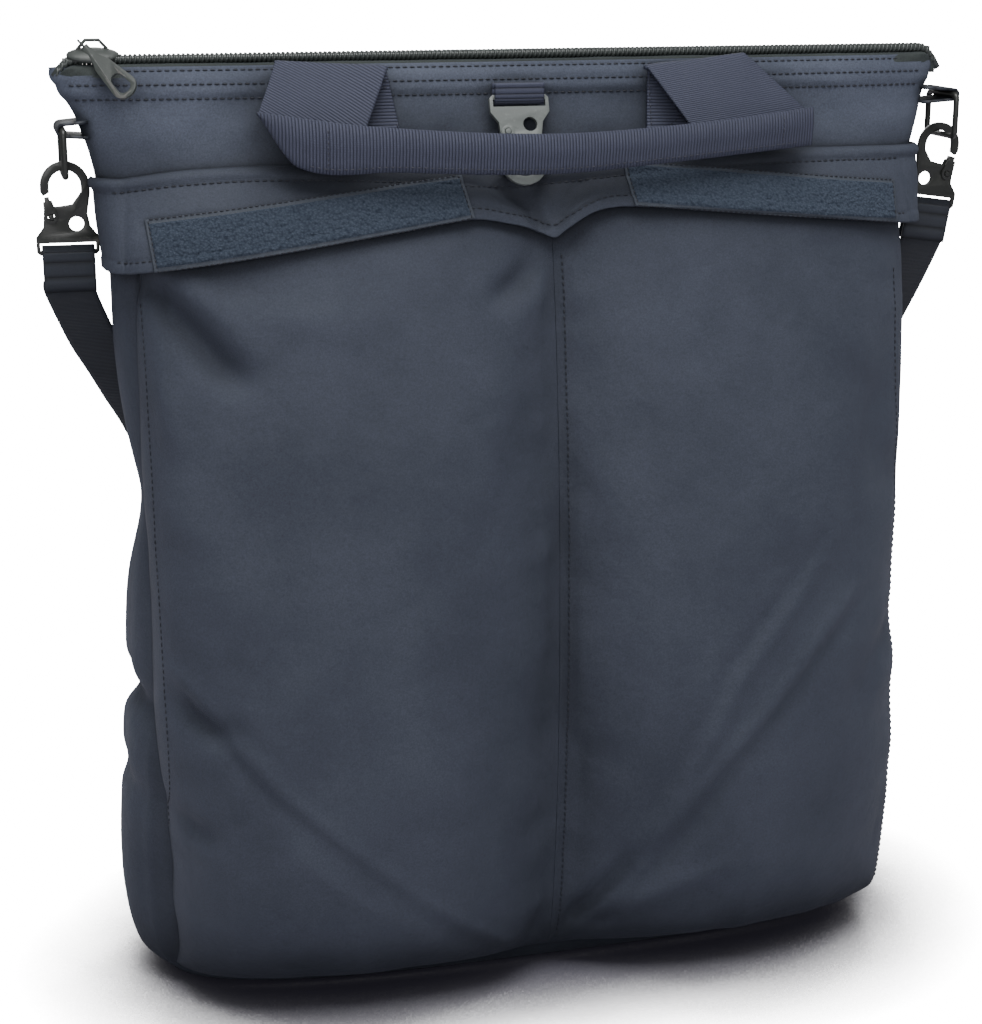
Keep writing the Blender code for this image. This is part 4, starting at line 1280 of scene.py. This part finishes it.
def buildZipper():
    coil = {
        "pitch": 0.0023, "wire": 0.00074, "reach": 0.0022, "height": 0.0019, "middle": 0.0019,
        "slope": 0.0003, "points": 12, "cordSteps": 220, "z": 0.4768, "leftDrop": 0.0075,
        "rightDrop": 0.0105,
    }
    start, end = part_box("zipper_coil_front")[0].x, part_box("zipper_coil_front")[1].x
    ends = {"left": start - 0.0075, "right": end + 0.0085}

    def lineZ(x):
        left = max((start + 0.002 - x) / 0.0095, 0.0)
        right = max((x - end + 0.002) / 0.0105, 0.0)
        return (
            coil["z"] - coil["leftDrop"] * min(left, 1.0) ** 1.8
            - coil["rightDrop"] * min(right, 1.0) ** 1.8
        )

    for name, sign, node in (("coilFront", -1, "zipper_coil_front"), ("coilBack", 1, "zipper_coil_back")):
        turns = int((ends["right"] - ends["left"]) / coil["pitch"])
        path = []
        for i in range(turns * coil["points"] + 1):
            turn = i / coil["points"]
            x = ends["left"] + turn * coil["pitch"] + (coil["pitch"] / 2 if sign > 0 else 0.0)
            angle = 2 * pi * turn * sign
            y = sign * coil["middle"] + coil["reach"] * cos(angle)
            z = lineZ(x) + coil["height"] * sin(angle)
            path.append(Vector((x + coil["slope"] * cos(angle) * sign, y, z)))
        # the cord that the coil is wound on
        steps = coil["cordSteps"]
        xs = [ends["left"] + (ends["right"] - ends["left"]) * i / steps for i in range(steps + 1)]
        core = [Vector((x, sign * coil["middle"], lineZ(x))) for x in xs]
        obj = tubeMesh(name, [path], coil["wire"], 6, "coil")
        cord = tubeMesh(f"{name}Cord", [core], coil["height"], 10, "coil")
        settle(cord, "root", "coil")
        settle(obj, "root", "coil", node)

    tape = {"thickness": 0.0005, "columns": 260, "rows": 12}
    for name, sign, node in (
        ("zipTapeFront", -1, "zipper_tape_front"), ("zipTapeBack", 1, "zipper_tape_back"),
    ):

        def place(u, v):
            x = ends["left"] + 0.002 + (ends["right"] - ends["left"] - 0.004) * u
            hem = max(frontDepth(min(max(x, -0.2255), 0.2255), body["top"] - 0.004) + 0.0006, 0.0034)
            drop = lineZ(x) - coil["z"]
            section = (
                (hem, 0.4640), (hem, 0.4690), (min(hem, 0.0074), 0.4722), (min(hem, 0.0060), 0.4742),
                (0.0030, 0.4748),
            )
            depth, z = route(section, v)[:2]
            point = Vector((x, -depth, z + drop * v))
            return point if sign < 0 else Vector((point.x, -point.y, point.z))

        obj = gridCloth(name, place, tape["columns"], tape["rows"], "zipTape")
        if sign > 0:
            obj.data.flip_normals()
        raiseCloth(obj, lambda coords: 0.00025 * noiseField(coords, 0.020, 44))
        thicken(obj, tape["thickness"])
        settle(obj, "root", "zip_tape", node)


def softened(name, node, bodyName, slotName, finish, width):
    # the CAD node's own shape with its edges broken, as stamped and tumbled metal has them
    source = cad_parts[node]
    bm = bmesh.new()
    bm.from_mesh(source.data)
    bmesh.ops.remove_doubles(bm, verts=bm.verts, dist=2e-6)
    bmesh.ops.dissolve_limit(bm, angle_limit=radians(2.0), verts=bm.verts, edges=bm.edges)
    mesh = bpy.data.meshes.new(name)
    bm.to_mesh(mesh)
    bm.free()
    mesh.materials.clear()
    obj = linkMesh(name, mesh, [finish])
    bevel = obj.modifiers.new("edges", "BEVEL")
    bevel.width = width
    bevel.segments = 2
    bevel.limit_method = "ANGLE"
    bevel.angle_limit = radians(38)
    bevel.harden_normals = False
    applyAll(obj)
    obj.data.shade_smooth()
    obj.data.set_sharp_from_angle(angle=radians(50))
    settle(obj, bodyName, slotName, node)
    return obj


def roundedPath(half, low, high, corner, x, steps=6):
    # a rounded rectangle in the YZ plane
    centres = (
        (half - corner, high - corner, 0), (corner - half, high - corner, 90),
        (corner - half, low + corner, 180), (half - corner, low + corner, 270),
    )
    path = []
    for y, z, begin in centres:
        for i in range(steps + 1):
            angle = radians(begin + 90 * i / steps)
            path.append(Vector((x, y + corner * cos(angle), z + corner * sin(angle))))
    return path


def buildMetal():
    plate = {
        "halfLength": 0.0125, "halfWidth": 0.0068, "halfHeight": 0.0026, "y": -0.0012, "z": 0.4792,
        "tip": 22.0,
    }
    softened("zipperSlider", "zipper_slider", "slider", "green_enamel", "slider", 0.00025)
    # the slider's domed upper plate, tipped towards the front with the zipper's end
    low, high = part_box("zipper_slider")
    dome = bmesh.new()
    bmesh.ops.create_uvsphere(dome, u_segments=32, v_segments=16, radius=1.0)
    size = Matrix.Diagonal((plate["halfLength"], plate["halfWidth"], plate["halfHeight"], 1.0))
    place = Matrix.Translation(((low.x + high.x) / 2, plate["y"], plate["z"]))
    tip = place @ Matrix.Rotation(radians(plate["tip"]), 4, "X")
    bmesh.ops.transform(dome, matrix=tip @ size, verts=dome.verts)
    mesh = bpy.data.meshes.new("sliderPlate")
    dome.to_mesh(mesh)
    dome.free()
    mesh.shade_smooth()
    settle(linkMesh("sliderPlate", mesh, ["slider"]), "slider", "green_enamel")
    softened("pullTab", "zipper_pull_tab", "pull_tab", "green_enamel", "slider", 0.00028)
    softened("centreHookPlate", "centre_hook_frame", "centre_hook", "green_enamel", "hookGreen", 0.00035)
    softened("centreHookGate", "centre_hook_gate", "centre_gate", "green_enamel", "hookGreen", 0.0002)
    softened("centreHookRivet", "centre_hook_rivet", "centre_hook", "green_enamel", "hookGreen", 0.0002)
    softened("zipStopLeft", "zipper_stop_left", "root", "coil", "coil", 0.0003)
    softened("zipStopRight", "zipper_stop_right", "root", "coil", "coil", 0.0003)
    softened("strapAdjuster", "strap_adjuster", "adjuster", "black_enamel", "black", 0.0005)
    for side in ("left", "right"):
        title = side.capitalize()
        softened(
            f"hookPlate{title}", f"snap_hook_{side}_frame", f"hanger_{side}", "black_enamel", "black",
            0.00035,
        )
        softened(
            f"hookGate{title}", f"snap_hook_{side}_gate", f"gate_{side}", "black_enamel", "black", 0.0002,
        )
        softened(
            f"hookRivet{title}", f"snap_hook_{side}_rivet", f"hanger_{side}", "black_enamel", "black",
            0.0002,
        )
        low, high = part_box(f"ring_{side}")
        middle = (low + high) / 2
        wire = (high.x - low.x) / 2
        path = roundedPath((high.y - low.y) / 2 - wire, low.z + wire, high.z - wire, 0.0030, middle.x)
        ring = tubeMesh(f"ring{title}", [path], wire, 14, "black", closed=True, upAxis=(1.0, 0.0, 0.0))
        settle(ring, f"hanger_{side}", "black_enamel", f"ring_{side}")


# Handles

handle = {
    "web": 0.0015, "rings": 140, "sides": 28, "gripThick": 0.0038, "gripTaper": 0.05,
    # the top of each leg rolls back over the fold
    "rollShare": 0.08, "rollRadius": 0.0017,
    "legs": {
        "left": ((-0.1235, 0.4768), (-0.0690, 0.4735), (-0.1352, 0.4530), (-0.0840, 0.4440)),
        "right": ((0.0620, 0.4715), (0.1140, 0.4770), (0.0810, 0.4420), (0.1430, 0.4480)),
    },
    "gripEnds": (-0.1358, 0.1446),
    "gripTop": ((-0.1358, 0.4542), (-0.083, 0.4470), (0.005, 0.4418), (0.080, 0.4450), (0.1446, 0.4508)),
    "gripFoot": (
        (-0.1358, 0.4530), (-0.117, 0.4280), (-0.070, 0.4250), (0.005, 0.4223), (0.060, 0.4255),
        (0.1446, 0.4318),
    ),
    "topY": 0.0218, "lean": 0.0185, "gripY": 0.0440, "bow": 0.0095,
    "anchors": {"left": -0.093, "right": 0.089}, "anchorWidth": 0.048, "anchorHeight": 0.039,
    "anchorTop": 0.4718,
    "anchorOffset": 0.0052, "anchorWeb": 0.0014, "anchorSkew": {"left": 0.0070, "right": -0.0030},
}


def turned(point, back):
    return Vector((-point.x, -point.y, point.z)) if back else point


def buildHandle(title, bodyName, node, back):
    pieces = []

    def legPoint(side, u, v):
        topLeft, topRight, lowLeft, lowRight = handle["legs"][side]
        topX = topLeft[0] + (topRight[0] - topLeft[0]) * u
        topZ = topLeft[1] + (topRight[1] - topLeft[1]) * u
        lowX = lowLeft[0] + (lowRight[0] - lowLeft[0]) * u
        lowZ = lowLeft[1] + (lowRight[1] - lowLeft[1]) * u
        x = lowX + (topX - lowX) * v
        return Vector((x, -handle["topY"] - handle["lean"] * (1 - v) ** 0.8, lowZ + (topZ - lowZ) * v))

    for side in ("left", "right"):

        def place(u, v):
            straight = 1.0 - handle["rollShare"]
            if v > straight:
                point = legPoint(side, u, 1.0)
                radius = handle["rollRadius"]
                angle = pi * (v - straight) / handle["rollShare"]
                point.y += radius - radius * cos(angle)
                point.z += radius * sin(angle) * 0.9 - radius
                return turned(point, back)
            ripple = 0.0006 * sin(pi * u) * sin(pi * v / straight)
            point = legPoint(side, u, v / straight)
            point.y -= ripple
            return turned(point, back)

        leg = gridCloth(f"{title}Leg{side.capitalize()}", place, 40, 60, "webbing")
        raiseCloth(leg, lambda coords: 0.0003 * noiseField(coords, 0.02, 51))
        slant(leg, 0.50)
        thicken(leg, handle["web"])
        pieces.append(leg)
        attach(leg, bodyName)

    # the grip: the webbing folded lengthwise, with a pointed left end where the leg turns into it
    rings, sides = handle["rings"], handle["sides"]
    coords, faces, spots = [], [], []
    for i in range(rings + 1):
        u = i / rings
        x = handle["gripEnds"][0] + (handle["gripEnds"][1] - handle["gripEnds"][0]) * u
        top, foot = easeKeys(handle["gripTop"], x)[0], easeKeys(handle["gripFoot"], x)[0]
        bow = handle["bow"] * (1 - (2 * u - 1) ** 2)
        thickEnd = 0.5 + 0.5 * min(min(u, 1 - u) / handle["gripTaper"], 1.0)
        for k in range(sides):
            angle = 2 * pi * k / sides
            up, out = cos(angle), sin(angle)
            half = max((top - foot) / 2, 0.0006)
            thick = handle["gripThick"] * thickEnd * (1.0 if up > -0.2 else 0.80)
            wobble = 0.0003 * noise.noise(Vector((u * 18.0, k * 0.3, 4.0)))
            y = 0.0030 - handle["gripY"] - bow - wobble
            y -= (abs(out) ** 0.75) * (1 if out > 0 else -1) * thick
            point = Vector((x, y, (top + foot) / 2 + half * (abs(up) ** 0.82) * (1 if up > 0 else -1)))
            coords.append(turned(point, back))
    for i in range(rings):
        for k in range(sides):
            ring, after, beside = i * sides, (i + 1) * sides, (k + 1) % sides
            faces.append((ring + k, ring + beside, after + beside, after + k))
            for du, dk in ((0, 0), (0, 1), (1, 1), (1, 0)):
                spots += [(k + dk) / sides * 0.050, (i + du) / rings * 0.285]
    faces.append(tuple(reversed(range(sides))))
    faces.append(tuple(rings * sides + k for k in range(sides)))
    spots += [0.0, 0.0] * sides * 2
    mesh = bpy.data.meshes.new(f"{title}Grip")
    mesh.from_pydata([tuple(point) for point in coords], [], faces)
    mesh.uv_layers.new(name="UVMap").data.foreach_set("uv", spots)
    mesh.shade_smooth()
    mesh.set_sharp_from_angle(angle=radians(60))
    grip = linkMesh(f"{title}Grip", mesh, ["webbing"])
    bm = bmesh.new()
    bm.from_mesh(mesh)
    bmesh.ops.recalc_face_normals(bm, faces=bm.faces)
    bm.to_mesh(mesh)
    bm.free()
    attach(grip, bodyName)
    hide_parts(node)
    pieces.append(grip)

    for side, centreX in handle["anchors"].items():

        def anchorPlace(u, v):
            x = centreX + handle["anchorWidth"] * (u - 0.5) + handle["anchorSkew"][side] * (1 - v)
            z = handle["anchorTop"] - handle["anchorHeight"] * (1 - v)
            return turned(frontAt(x, z, handle["anchorOffset"]), back)

        anchor = gridCloth(f"{title}Anchor{side.capitalize()}", anchorPlace, 40, 34, "webbing")
        thicken(anchor, handle["anchorWeb"])
        settle(anchor, "root", "webbing", f"{node}_anchor_{side}")
        pieces.append(anchor)
    return pieces


def buildCentreTab():
    low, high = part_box("centre_tab")
    width = high.x - low.x
    middle = (low.x + high.x) / 2
    outer, inner = low.y, high.y
    bottom, top = low.z, high.z
    section = [
        (inner, top), (inner, bottom + 0.0030), (inner - 0.0016, bottom),
        ((inner + outer) / 2, bottom - 0.0001), (outer + 0.0016, bottom), (outer, bottom + 0.0030),
        (outer, top),
    ]

    def place(u, v):
        y, z = route(section, v)[:2]
        return Vector((middle + width * (u - 0.5), y, z))

    tab = gridCloth("centreTab", place, 24, 48, "webbing")
    thicken(tab, 0.0013)
    settle(tab, "root", "webbing", "centre_tab")


# Side tabs, strap loops and the shoulder strap

def alongLine(line, v):
    # the place at a share v of a line's steps
    index = v * (len(line) - 1)
    low = min(int(index), len(line) - 2)
    a, b = line[low], line[low + 1]
    return a[0] + (b[0] - a[0]) * (index - low), a[1] + (b[1] - a[1]) * (index - low)


def ribbon(name, points, across, width, along, thickness, slotName, wide=10):
    def place(u, v):
        return route(points, v) + across(v) * (u - 0.5) * width

    made = gridCloth(name, place, wide, along, slotName)
    thicken(made, thickness)
    return made


def buildStraps():
    strap = {
        "width": 0.025, "web": 0.0014,
        "lean": {"left": 0.0, "right": 8.0},
        "fall": {
            "left": (
                (0.2130, 0.020, 0.338), (0.1970, 0.042, 0.306), (0.1800, 0.063, 0.264),
                (0.1680, 0.080, 0.180),
            ),
            "right": (
                (0.2235, 0.016, 0.345), (0.2185, 0.034, 0.315), (0.2105, 0.052, 0.275),
                (0.1950, 0.074, 0.190),
            ),
        },
        "crest": 0.0048, "loop": 0.018, "hookReach": 0.0405,
        "turn": (
            (0.168, 0.098, 0.045), (0.162, 0.104, 0.016), (0.148, 0.110, 0.0040), (0.121, 0.112, 0.0030),
        ),
        "ground": 0.1205, "groundY": 0.112, "groundTop": 0.0032,
    }
    for side, sign in (("left", -1), ("right", 1)):
        title = side.capitalize()
        # web tab through the ring
        ringLow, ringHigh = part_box(f"ring_{side}")
        x = (ringLow.x + ringHigh.x) / 2
        wire = (ringHigh.x - ringLow.x) / 2
        top = ringHigh.z - wire
        face = sign * (easeKeys(body["profile"], top + 0.006)[0] + 0.0012)
        face += sideShift(face, 0.0, top) - sign * 0.005
        reach = wire + 0.0004 + strap["web"]
        line = [(face, top + 0.0044)]
        for i in range(13):
            angle = radians(90 - 180 * i / 12)
            line.append((x + sign * reach * cos(angle), top + reach * sin(angle)))
        line.append((face, top - 0.0044))

        def tabPlace(u, v):
            out, z = alongLine(line, v)
            return Vector((out, -sign * strap["width"] * (u - 0.5), z))

        tab = gridCloth(f"sideTab{title}", tabPlace, 12, 42, "strap")
        coords, normals = vertexArrays(tab)
        middle = len(coords) // 2
        if normals[middle][0] * sign < 0:
            tab.data.flip_normals()
        thicken(tab, strap["web"])
        settle(tab, "root", "strap", f"side_tab_{side}")

        # sewn loop through the hook's slot, which leans with the hook about the ring's lower bar
        hung = Vector((x, 0.0, ringLow.z + wire))
        swing = Matrix.Rotation(sign * radians(strap["lean"][side]), 4, "Y")

        def leant(point):
            return hung + swing @ (point - hung)

        slotEnd = hung.z + wire - strap["hookReach"]
        loopReach = 0.0013 + 0.0004 + strap["web"]
        crest = slotEnd + strap["crest"] - loopReach
        section = [(-loopReach, slotEnd - strap["loop"])]
        for i in range(13):
            angle = radians(180 - 180 * i / 12)
            section.append((loopReach * cos(angle), crest + loopReach * sin(angle)))
        section.append((loopReach, slotEnd - strap["loop"]))

        def loopPlace(u, v):
            y, z = alongLine(section, v)
            pinch = 1.0 - 0.30 * min(max((crest - z) / 0.030, 0.0), 1.0)
            return leant(Vector((x + strap["width"] * (u - 0.5), y * pinch, z)))

        loop = gridCloth(f"strapLoop{title}", loopPlace, 12, 60, "strap")
        coords, normals = vertexArrays(loop)
        if normals[len(coords) // 2][2] < 0:
            loop.data.flip_normals()
        thicken(loop, strap["web"])
        settle(loop, f"hanger_{side}", "strap", f"strap_loop_{side}")

        # the strap from the loop down behind the bag to the ground
        start = leant(Vector((x, 0.0008, slotEnd - strap["loop"] - 0.0005)))
        fall = [start + swing @ Vector((0.0, 0.0, 0.006)), start]
        fall += [
            Vector((sign * point[0], point[1], point[2]))
            for point in (*strap["fall"][side], *strap["turn"])
        ]

        def across(t):
            turnAngle = pi / 2 * min(max((t - 0.30) / 0.45, 0.0), 1.0)
            return Vector((cos(turnAngle), sign * sin(turnAngle), 0.0))

        made = ribbon(f"strapFall{title}", fall, across, strap["width"], 150, strap["web"], "strap")
        raiseCloth(made, lambda coords: 0.0003 * noiseField(coords, 0.03, 61))
        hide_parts(f"strap_fall_{side}")
        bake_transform(made)

    def ground(u, v):
        x = strap["ground"] * (2 * v - 1)
        return Vector(
            (x, strap["groundY"] - strap["width"] * (u - 0.5), strap["groundTop"] + 0.0002 * sin(60 * x))
        )

    made = gridCloth("strapGround", ground, 10, 120, "strap")
    thicken(made, strap["web"])
    settle(made, "root", "strap", "strap_ground")


# Stitching

def buildStitches(yokes, rows, pockets, flapPiece, tapeOutlines, handles):
    yokeWork = ThreadWork()
    yokeTree = {-1: surfaceOf(yokes["yokeFront"]), 1: surfaceOf(yokes["yokeBack"])}
    for sign, tree in yokeTree.items():
        direction = (0.0, 1.0, 0.0) if sign < 0 else (0.0, -1.0, 0.0)
        for row in rows:
            wide = easeKeys(body["profile"], row)[0] * 0.975
            line = dropLine(tree, [(-wide, row), (wide, row)], direction)
            yokeWork.run(line)
    settle(yokeWork.make("stitchesYoke", "thread"), "root", "shell")

    flapWork = ThreadWork()
    flapTree = surfaceOf(flapPiece)
    xs = [flap["side"] * (2 * i / 80 - 1) * 1.02 for i in range(81)]
    flapWork.run(dropLine(flapTree, [(x, flapRidge(x) - 0.0066) for x in xs]))
    flapWork.run(dropLine(flapTree, [(x, flapEdge(x) + 0.0052) for x in xs]))
    for side, corners in tapeOutlines.items():
        loopPoints = list(corners) + [corners[0]]
        centre = sum((Vector(point) for point in corners), Vector((0.0, 0.0))) / 4
        inset = [Vector(point) + (centre - Vector(point)).normalized() * 0.0016 for point in loopPoints]
        tree = surfaceOf(bpy.data.objects[f"pileTape{side.capitalize()}"])
        flapWork.run(dropLine(tree, inset), sewing["tapePitch"])
    settle(flapWork.make("stitchesFlap", "thread"), "root", "shell")

    pocketWork = ThreadWork()
    pocketTree = surfaceOf(pockets["left"], pockets["right"])
    pocketWork.run(dropLine(pocketTree, [(0.0075, 0.020), (0.0130, 0.385)]), sewing["pocketPitch"])
    for sign in (-1, 1):
        sideLine = [(sign * 0.1930, 0.030), (sign * 0.1930, 0.370)]
        pocketWork.run(dropLine(pocketTree, sideLine), sewing["pocketPitch"])
    settle(pocketWork.make("stitchesPockets", "thread"), "root", "shell")

    webWork = ThreadWork()
    for back, pieces in handles.items():
        direction = (0.0, -1.0, 0.0) if back else (0.0, 1.0, 0.0)
        for piece in pieces:
            if "Anchor" not in piece.name:
                continue
            coords = [vert.co for vert in piece.data.vertices]
            lowX, highX = min(c.x for c in coords) + 0.003, max(c.x for c in coords) - 0.003
            lowZ, highZ = min(c.z for c in coords) + 0.003, max(c.z for c in coords) - 0.006
            box = [(lowX, lowZ), (highX, lowZ), (highX, highZ), (lowX, highZ), (lowX, lowZ), (highX, highZ)]
            webWork.run(dropLine(surfaceOf(piece), box, direction), sewing["anchorPitch"])
    settle(webWork.make("stitchesAnchors", "webThread"), "root", "webbing")

    for back, pieces in handles.items():
        direction = (0.0, -1.0, 0.0) if back else (0.0, 1.0, 0.0)
        gripWork = ThreadWork()
        grip = next(piece for piece in pieces if piece.name.endswith("Grip"))
        tree = surfaceOf(grip)
        flip = -1 if back else 1
        for x in (-0.1035, 0.1270):
            foot, top = easeKeys(handle["gripFoot"], x)[0], easeKeys(handle["gripTop"], x)[0]
            tack = dropLine(tree, [(flip * x, foot + 0.0015), (flip * x, top - 0.0015)], direction)
            gripWork.run(tack, sewing["tackPitch"], sewing["tackRadius"], sewing["tackRise"])
        xs = [-0.112 + 0.250 * i / 60 for i in range(61)]
        fold = [(flip * x, easeKeys(handle["gripFoot"], x)[0] + 0.0028) for x in xs]
        gripWork.run(dropLine(tree, fold, direction), sewing["foldPitch"])
        name, bodyName = (
            ("stitchesRearGrip", "rear_handle")
            if back
            else ("stitchesFrontGrip", "front_handle")
        )
        settle(gripWork.make(name, "webThread"), bodyName, "webbing")


buildCamera()
buildStudio()
print("camera and studio")
buildBody()
yokePieces, stitchRows = buildYokes()
print("body and yokes")
pocketPieces = buildPockets()
flapPiece = buildFlap()
tapeOutlines = buildTapes(surfaceOf(flapPiece))
buildLinings()
print("pockets, flap and tapes")
buildZipper()
buildMetal()
print("zipper and metal")
handlePieces = {
    False: buildHandle("front", "front_handle", "front_handle", False),
    True: buildHandle("rear", "rear_handle", "rear_handle", True),
}
buildCentreTab()
buildStraps()
print("webbing")
buildStitches(yokePieces, stitchRows, pocketPieces, flapPiece, tapeOutlines, handlePieces)
print("stitches")
